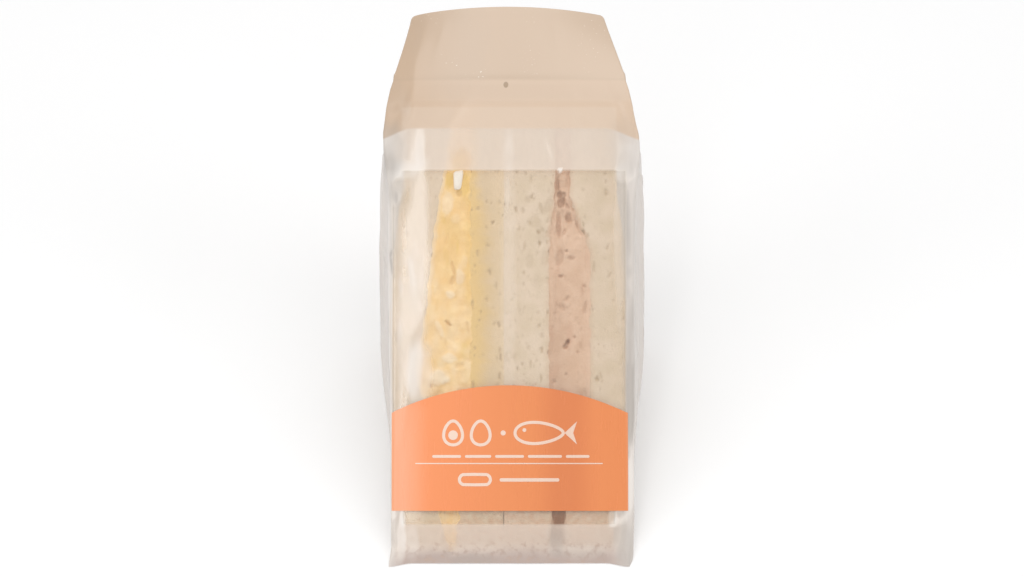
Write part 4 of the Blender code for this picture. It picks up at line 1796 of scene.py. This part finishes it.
@dataclass
class Label:
    """The orange printed band with an arched top, and the pale marks on it.

    The marks are drawn flat in millimetres, and their heights here are in millimetres too.
    """

    film: FilmBag
    half: float = 36.8 * MM
    low: float = 13.8 * MM
    side_top: float = 44.2 * MM
    middle_top: float = 52.8 * MM
    above: float = 0.05 * MM
    marks_above: float = 0.10 * MM
    sheet: float = 0.03 * MM
    pen: float = 0.95
    drawings_at: float = 38.0
    bars_at: float = 30.7
    rule_at: float = 28.5
    box_at: float = 23.5
    bars: tuple = ((-19.4, 9.0), (-9.6, 8.2), (0.2, 9.0), (11.2, 10.6), (21.4, 7.4))

    def top(self, x: float) -> float:
        """The span of the arched top at one x.

        Args:
            x: place across the pack.

        Returns:
            The span in metres.
        """
        rise = self.middle_top - self.side_top
        radius = (self.half**2 + rise**2) / (2 * rise)
        return self.middle_top - radius + math.sqrt(radius**2 - x**2)

    def build(self, finish: bpy.types.Material) -> bpy.types.Object:
        """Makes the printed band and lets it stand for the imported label.

        Args:
            finish: the label's material.

        Returns:
            The finished piece.
        """
        shape = new_grid(110, 56)
        pushed_out(shape, shape.faces[:], (0, 0, 1), keep=True)
        for vert in shape.verts:
            x = vert.co.x * 2 * self.half
            span = mix(self.low, self.top(x), vert.co.y + 0.5)
            vert.co = self.film.front_point(x, span, self.above + self.sheet * vert.co.z)
        piece = finished("label", shape, finish)
        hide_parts("front_label")
        return piece

    def bar(self, shape: bmesh.types.BMesh, x: float, span: float, width: float, height: float) -> list:
        """Adds a flat bar with round ends, centred at x and span, in millimetres.

        Args:
            shape: the flat mesh to add to.
            x: the bar's middle across.
            span: the bar's middle up.
            width: its whole width.
            height: its height.

        Returns:
            The bar's vertices.
        """
        made = bmesh.ops.create_circle(shape, cap_ends=True, segments=24, radius=height / 2)["verts"]
        for vert in made:
            reach = (width - height) / 2
            vert.co.x += math.copysign(reach, vert.co.x) if abs(vert.co.x) > 1e-6 else 0
            vert.co += Vector((x, span, 0))
        return made

    def line(self, shape: bmesh.types.BMesh, outline: list) -> None:
        """Leaves only a line of the pen's width along a flat outline.

        Args:
            shape: the flat mesh.
            outline: the vertices of the face to hollow out.
        """
        face = outline[0].link_faces[0]
        bmesh.ops.inset_individual(shape, faces=[face], thickness=self.pen, use_even_offset=True)
        bmesh.ops.delete(shape, geom=[face], context="FACES_ONLY")

    def egg(self, shape: bmesh.types.BMesh, x: float, span: float) -> None:
        """Adds the line of an egg.

        Args:
            shape: the flat mesh to add to.
            x: the drawing's middle across.
            span: the drawing's middle up.
        """
        made = bmesh.ops.create_circle(shape, cap_ends=True, segments=48, radius=4.2)["verts"]
        for vert in made:
            narrow = 0.80 - 0.035 * vert.co.y
            vert.co = Vector((x + vert.co.x * narrow, span + vert.co.y, 0))
        self.line(shape, made)

    def fish(self, shape: bmesh.types.BMesh, x: float, span: float) -> None:
        """Adds the line of a fish: a long body, a forked tail and an eye.

        Args:
            shape: the flat mesh to add to.
            x: the drawing's middle across.
            span: the drawing's middle up.
        """
        body = bmesh.ops.create_circle(shape, cap_ends=True, segments=48, radius=1.0)["verts"]
        for vert in body:
            thin = 1 - 0.22 * vert.co.x
            vert.co = Vector((x + vert.co.x * 8.0, span + vert.co.y * 3.7 * thin, 0))
        self.line(shape, body)
        tail = [(7.9, 0.0), (11.8, 3.6), (10.6, 0.0), (11.8, -3.6)]
        shape.faces.new([shape.verts.new((x + right, span + up, 0.0)) for right, up in tail])
        self.bar(shape, x - 4.6, span + 0.9, 1.2, 1.2)

    def build_marks(self, finish: bpy.types.Material) -> bpy.types.Object:
        """Makes the pale marks: two eggs and a fish, a row of bars, a rule and a rounded box.

        Args:
            finish: the marks' material.

        Returns:
            The finished piece.
        """
        shape = bmesh.new()
        for x in (-17.4, -8.8):
            self.egg(shape, x, self.drawings_at)
        self.bar(shape, -17.4, self.drawings_at - 0.7, 3.0, 3.0)
        self.bar(shape, -1.8, self.drawings_at, 1.6, 1.6)
        self.fish(shape, 9.4, self.drawings_at)
        for x, width in self.bars:
            self.bar(shape, x, self.bars_at, width, 0.9)
        self.bar(shape, 0.0, self.rule_at, 58.4, 0.36)
        self.line(shape, self.bar(shape, -10.6, self.box_at, 10.6, 4.2))
        self.bar(shape, 6.4, self.box_at - 0.1, 18.6, 1.1)
        bmesh.ops.triangulate(shape, faces=shape.faces[:])
        cut_finely(shape, 1.5, 36.0)
        bmesh.ops.triangulate(shape, faces=shape.faces[:])
        pushed_out(shape, shape.faces[:], (0, 0, 1), keep=True)
        for vert in shape.verts:
            height = self.marks_above + self.sheet * vert.co.z
            vert.co = self.film.front_point(vert.co.x * MM, vert.co.y * MM, height)
        return finished("label_marks", shape, finish)


# The studio


@dataclass
class Studio:
    """Pale floor, soft lights, and the camera at the photograph's viewing angle."""

    elevation: float = math.radians(43)
    distance: float = 0.8
    lens: float = 90.0
    aim_span: float = 83.2 * MM
    aim_x: float = 0.95 * MM
    world: float = 0.41

    def lamp(self, name: str, place: Vector, size: tuple, power: float, aim: Vector) -> None:
        """Adds one rectangular light that looks at a point.

        Args:
            name: the light's name.
            place: where it hangs.
            size: its width and height.
            power: its power in watts.
            aim: the point that it looks at.
        """
        data = bpy.data.lights.new(name, "AREA")
        data.shape = "RECTANGLE"
        data.size, data.size_y = size
        data.energy = power
        lamp = bpy.data.objects.new(name, data)
        lamp.location = place
        lamp.rotation_euler = (aim - place).to_track_quat("-Z", "Y").to_euler()
        bpy.context.scene.collection.objects.link(lamp)

    def floor(self) -> None:
        """Lays the plain pale floor."""
        shape = new_grid(1, 1)
        bmesh.ops.scale(shape, vec=(8, 8, 1), verts=shape.verts[:])
        mesh = bpy.data.meshes.new("floor")
        shape.to_mesh(mesh)
        shape.free()
        floor = bpy.data.objects.new("floor", mesh)
        bpy.context.scene.collection.objects.link(floor)
        paint = bpy.data.materials.new("floor_paint")
        paint.use_nodes = True
        shader = paint.node_tree.nodes["Principled BSDF"]
        shader.inputs["Base Color"].default_value = (0.97, 0.97, 0.97, 1)
        shader.inputs["Roughness"].default_value = 0.9
        mesh.materials.append(paint)

    def build(self) -> None:
        """Lays the floor, hangs the lights and sets the camera."""
        scene = bpy.context.scene
        scene.view_settings.view_transform = "Standard"
        self.floor()
        world = bpy.data.worlds.new("studio")
        world.use_nodes = True
        world.node_tree.nodes["Background"].inputs["Color"].default_value = (1, 1, 1, 1)
        world.node_tree.nodes["Background"].inputs["Strength"].default_value = self.world
        scene.world = world
        aim = PACK.point(self.aim_x, self.aim_span, 0.0)
        away = Vector((0, -math.cos(self.elevation), math.sin(self.elevation)))
        mirror = Vector((0, -math.sin(self.elevation), math.cos(self.elevation)))
        self.lamp("overhead", Vector((0.0, 0.15, 1.5)), (1.6, 1.6), 14.4, aim)
        for name, x in (("left_box", -1.1), ("right_box", 1.1)):
            self.lamp(name, Vector((x, -0.5, 0.7)), (0.5, 1.2), 3.0, aim)
        self.lamp("streak", aim + mirror * 0.85 + Vector((-0.18, 0, 0)), (0.08, 0.5), 0.66, aim)
        camera_data = bpy.data.cameras.new("camera")
        camera_data.lens = self.lens
        camera_data.sensor_width = 36
        camera_data.clip_start, camera_data.clip_end = 0.05, 20
        camera = bpy.data.objects.new("camera", camera_data)
        camera.location = aim + away * self.distance
        camera.rotation_euler = (-away).to_track_quat("-Z", "Y").to_euler()
        scene.collection.objects.link(camera)
        scene.camera = camera


CRUMB = FoodFinish(
    name="white_bread",
    light=rgba(227, 207, 184),
    dark=rgba(217, 197, 169),
    shade_and_brown=rgba(170, 144, 112),
    stain_and_warm_light=rgba(232, 197, 128),
    pale=rgba(204, 158, 124),
    patch_scale=160.0,
    grain_scale=2600.0,
    pores=0.22,
    roughness=0.85,
    bump=0.5,
)
MASH = FoodFinish(
    name="egg_mash",
    light=rgba(250, 214, 148),
    dark=rgba(246, 202, 128),
    shade_and_brown=rgba(206, 156, 86),
    stain_and_warm_light=rgba(235, 195, 98),
    pale=rgba(248, 230, 200),
    patch_scale=240.0,
    grain_scale=1800.0,
    pores=0.0,
    roughness=0.42,
    bump=0.5,
)
WHITE = FoodFinish(
    name="egg_white",
    light=rgba(248, 242, 232),
    dark=rgba(240, 232, 218),
    shade_and_brown=rgba(220, 200, 170),
    stain_and_warm_light=rgba(240, 220, 180),
    pale=rgba(250, 246, 238),
    patch_scale=200.0,
    grain_scale=900.0,
    pores=0.0,
    roughness=0.35,
    bump=0.2,
)
TUNA = FoodFinish(
    name="tuna_paste",
    light=rgba(222, 187, 158),
    dark=rgba(212, 174, 143),
    shade_and_brown=rgba(134, 75, 18),
    stain_and_warm_light=rgba(206, 160, 130),
    pale=rgba(230, 196, 168),
    patch_scale=220.0,
    grain_scale=1800.0,
    pores=0.0,
    roughness=0.5,
    bump=0.5,
)
ORANGE = PrintFinish(
    name="orange_print",
    colour=rgba(238, 147, 93),
    worn=rgba(236, 143, 89),
    lit=rgba(252, 155, 102),
    dim=rgba(227, 135, 85),
    glare=rgba(250, 182, 146),
)
PALE = PrintFinish(
    name="white_print",
    colour=rgba(244, 216, 198),
    worn=rgba(241, 210, 191),
    lit=rgba(248, 220, 202),
    dim=rgba(240, 208, 188),
    glare=rgba(250, 228, 212),
)
SMEAR = ((0, 0.5), (50, 3.4), (60, 5.0), (84, 5.2), (105, 5.0), (112, 3.0), (128, 1.5))
LEFT_INNER_HOLES = marks(
    (-3.1, 71.8, 0.45, 1.2, 10, 0.50),
    (-2.6, 61.6, 0.45, 1.5, 5, 0.55),
    (-2.9, 55.6, 0.40, 1.5, 0, 0.50),
    (-6.6, 96.6, 0.80, 0.6, 10, 0.35),
    (-9.6, 108.0, 0.70, 0.7, 0, 0.35),
    (-9.8, 94.0, 0.50, 1.3, 0, 0.35),
    (-11.2, 52.5, 0.50, 1.6, 0, 0.40),
    (-11.4, 78.0, 0.40, 1.8, 0, 0.35),
    (-4.0, 84.0, 0.40, 1.3, 0, 0.35),
    (-2.1, 11.6, 0.55, 2.6, 8, 0.85),
    (-1.7, 15.6, 0.50, 1.8, -12, 0.60),
)
RIGHT_INNER_HOLES = marks(
    (10.2, 63.8, 0.50, 1.1, 0, 0.45),
    (12.6, 63.2, 0.70, 0.75, 0, 0.50),
    (10.0, 108.0, 0.70, 2.0, 15, 0.35),
    (4.4, 107.4, 0.70, 0.9, 0, 0.30),
    (10.4, 101.6, 0.50, 1.2, 20, 0.40),
    (12.0, 104.0, 0.50, 0.6, 0, 0.30),
    (11.8, 97.5, 0.40, 0.9, 0, 0.35),
    (4.6, 88.0, 0.60, 0.8, 0, 0.30),
    (6.8, 59.5, 0.35, 1.2, 0, 0.35),
    (10.0, 55.0, 0.40, 1.6, 0, 0.40),
    (9.4, 71.4, 0.60, 0.8, 0, 0.30),
    (4.9, 96.2, 0.60, 1.5, 0, 0.30),
    (8.5, 104.0, 1.6, 2.6, 20, 0.16),
    (12.3, 109.0, 1.3, 3.2, -20, 0.24),
    (10.5, 99.5, 2.2, 2.5, 0, 0.15),
    (6.5, 91.5, 1.4, 2.4, 0, 0.14),
    (11.2, 92.5, 1.6, 3.0, 0, 0.15),
    (9.0, 85.0, 1.8, 2.6, 0, 0.12),
    (6.0, 111.0, 1.0, 1.2, 0, 0.22),
)
RIGHT_OUTER_HOLES = marks(
    (30.8, 96.0, 0.40, 1.5, -15, 0.40),
    (31.4, 87.2, 0.40, 1.3, -30, 0.35),
    (26.6, 89.8, 0.40, 2.0, 0, 0.35),
    (23.6, 105.6, 0.50, 0.6, 0, 0.30),
    (24.6, 99.6, 0.60, 0.8, 0, 0.35),
    (28.6, 56.0, 0.40, 1.6, 10, 0.35),
)


def main() -> None:
    """Builds and dresses every piece in order, and reports each."""
    logging.basicConfig(level=logging.INFO, format="%(message)s")
    food, thin_film = food_group(), film_group()
    crumb = CRUMB.material(food)
    film = FilmBag()
    label = Label(film)
    pieces = [
        BreadSlice("bread_left_outer", Side.LEFT, Place.OUTER).build(crumb),
        EggSalad("egg_salad", Side.LEFT, Place.FILLING).build(MASH.material(food)),
        EggWhite().build(WHITE.material(food)),
        BreadSlice(
            "bread_left_inner", Side.LEFT, Place.INNER, smear=SMEAR, holes=LEFT_INNER_HOLES
        ).build(crumb),
        BreadSlice("bread_right_inner", Side.RIGHT, Place.INNER, holes=RIGHT_INNER_HOLES).build(crumb),
        TunaSalad("tuna_salad", Side.RIGHT, Place.FILLING).build(TUNA.material(food)),
        BreadSlice("bread_right_outer", Side.RIGHT, Place.OUTER, holes=RIGHT_OUTER_HOLES).build(crumb),
        film.build(FilmFinish().material(thin_film)),
        label.build(ORANGE.material(thin_film)),
        label.build_marks(PALE.material(thin_film)),
    ]
    for piece in pieces:
        LOG.info("%s: %d faces", piece.name, len(piece.data.polygons))
    Studio().build()


if __name__ == "__main__":
    main()
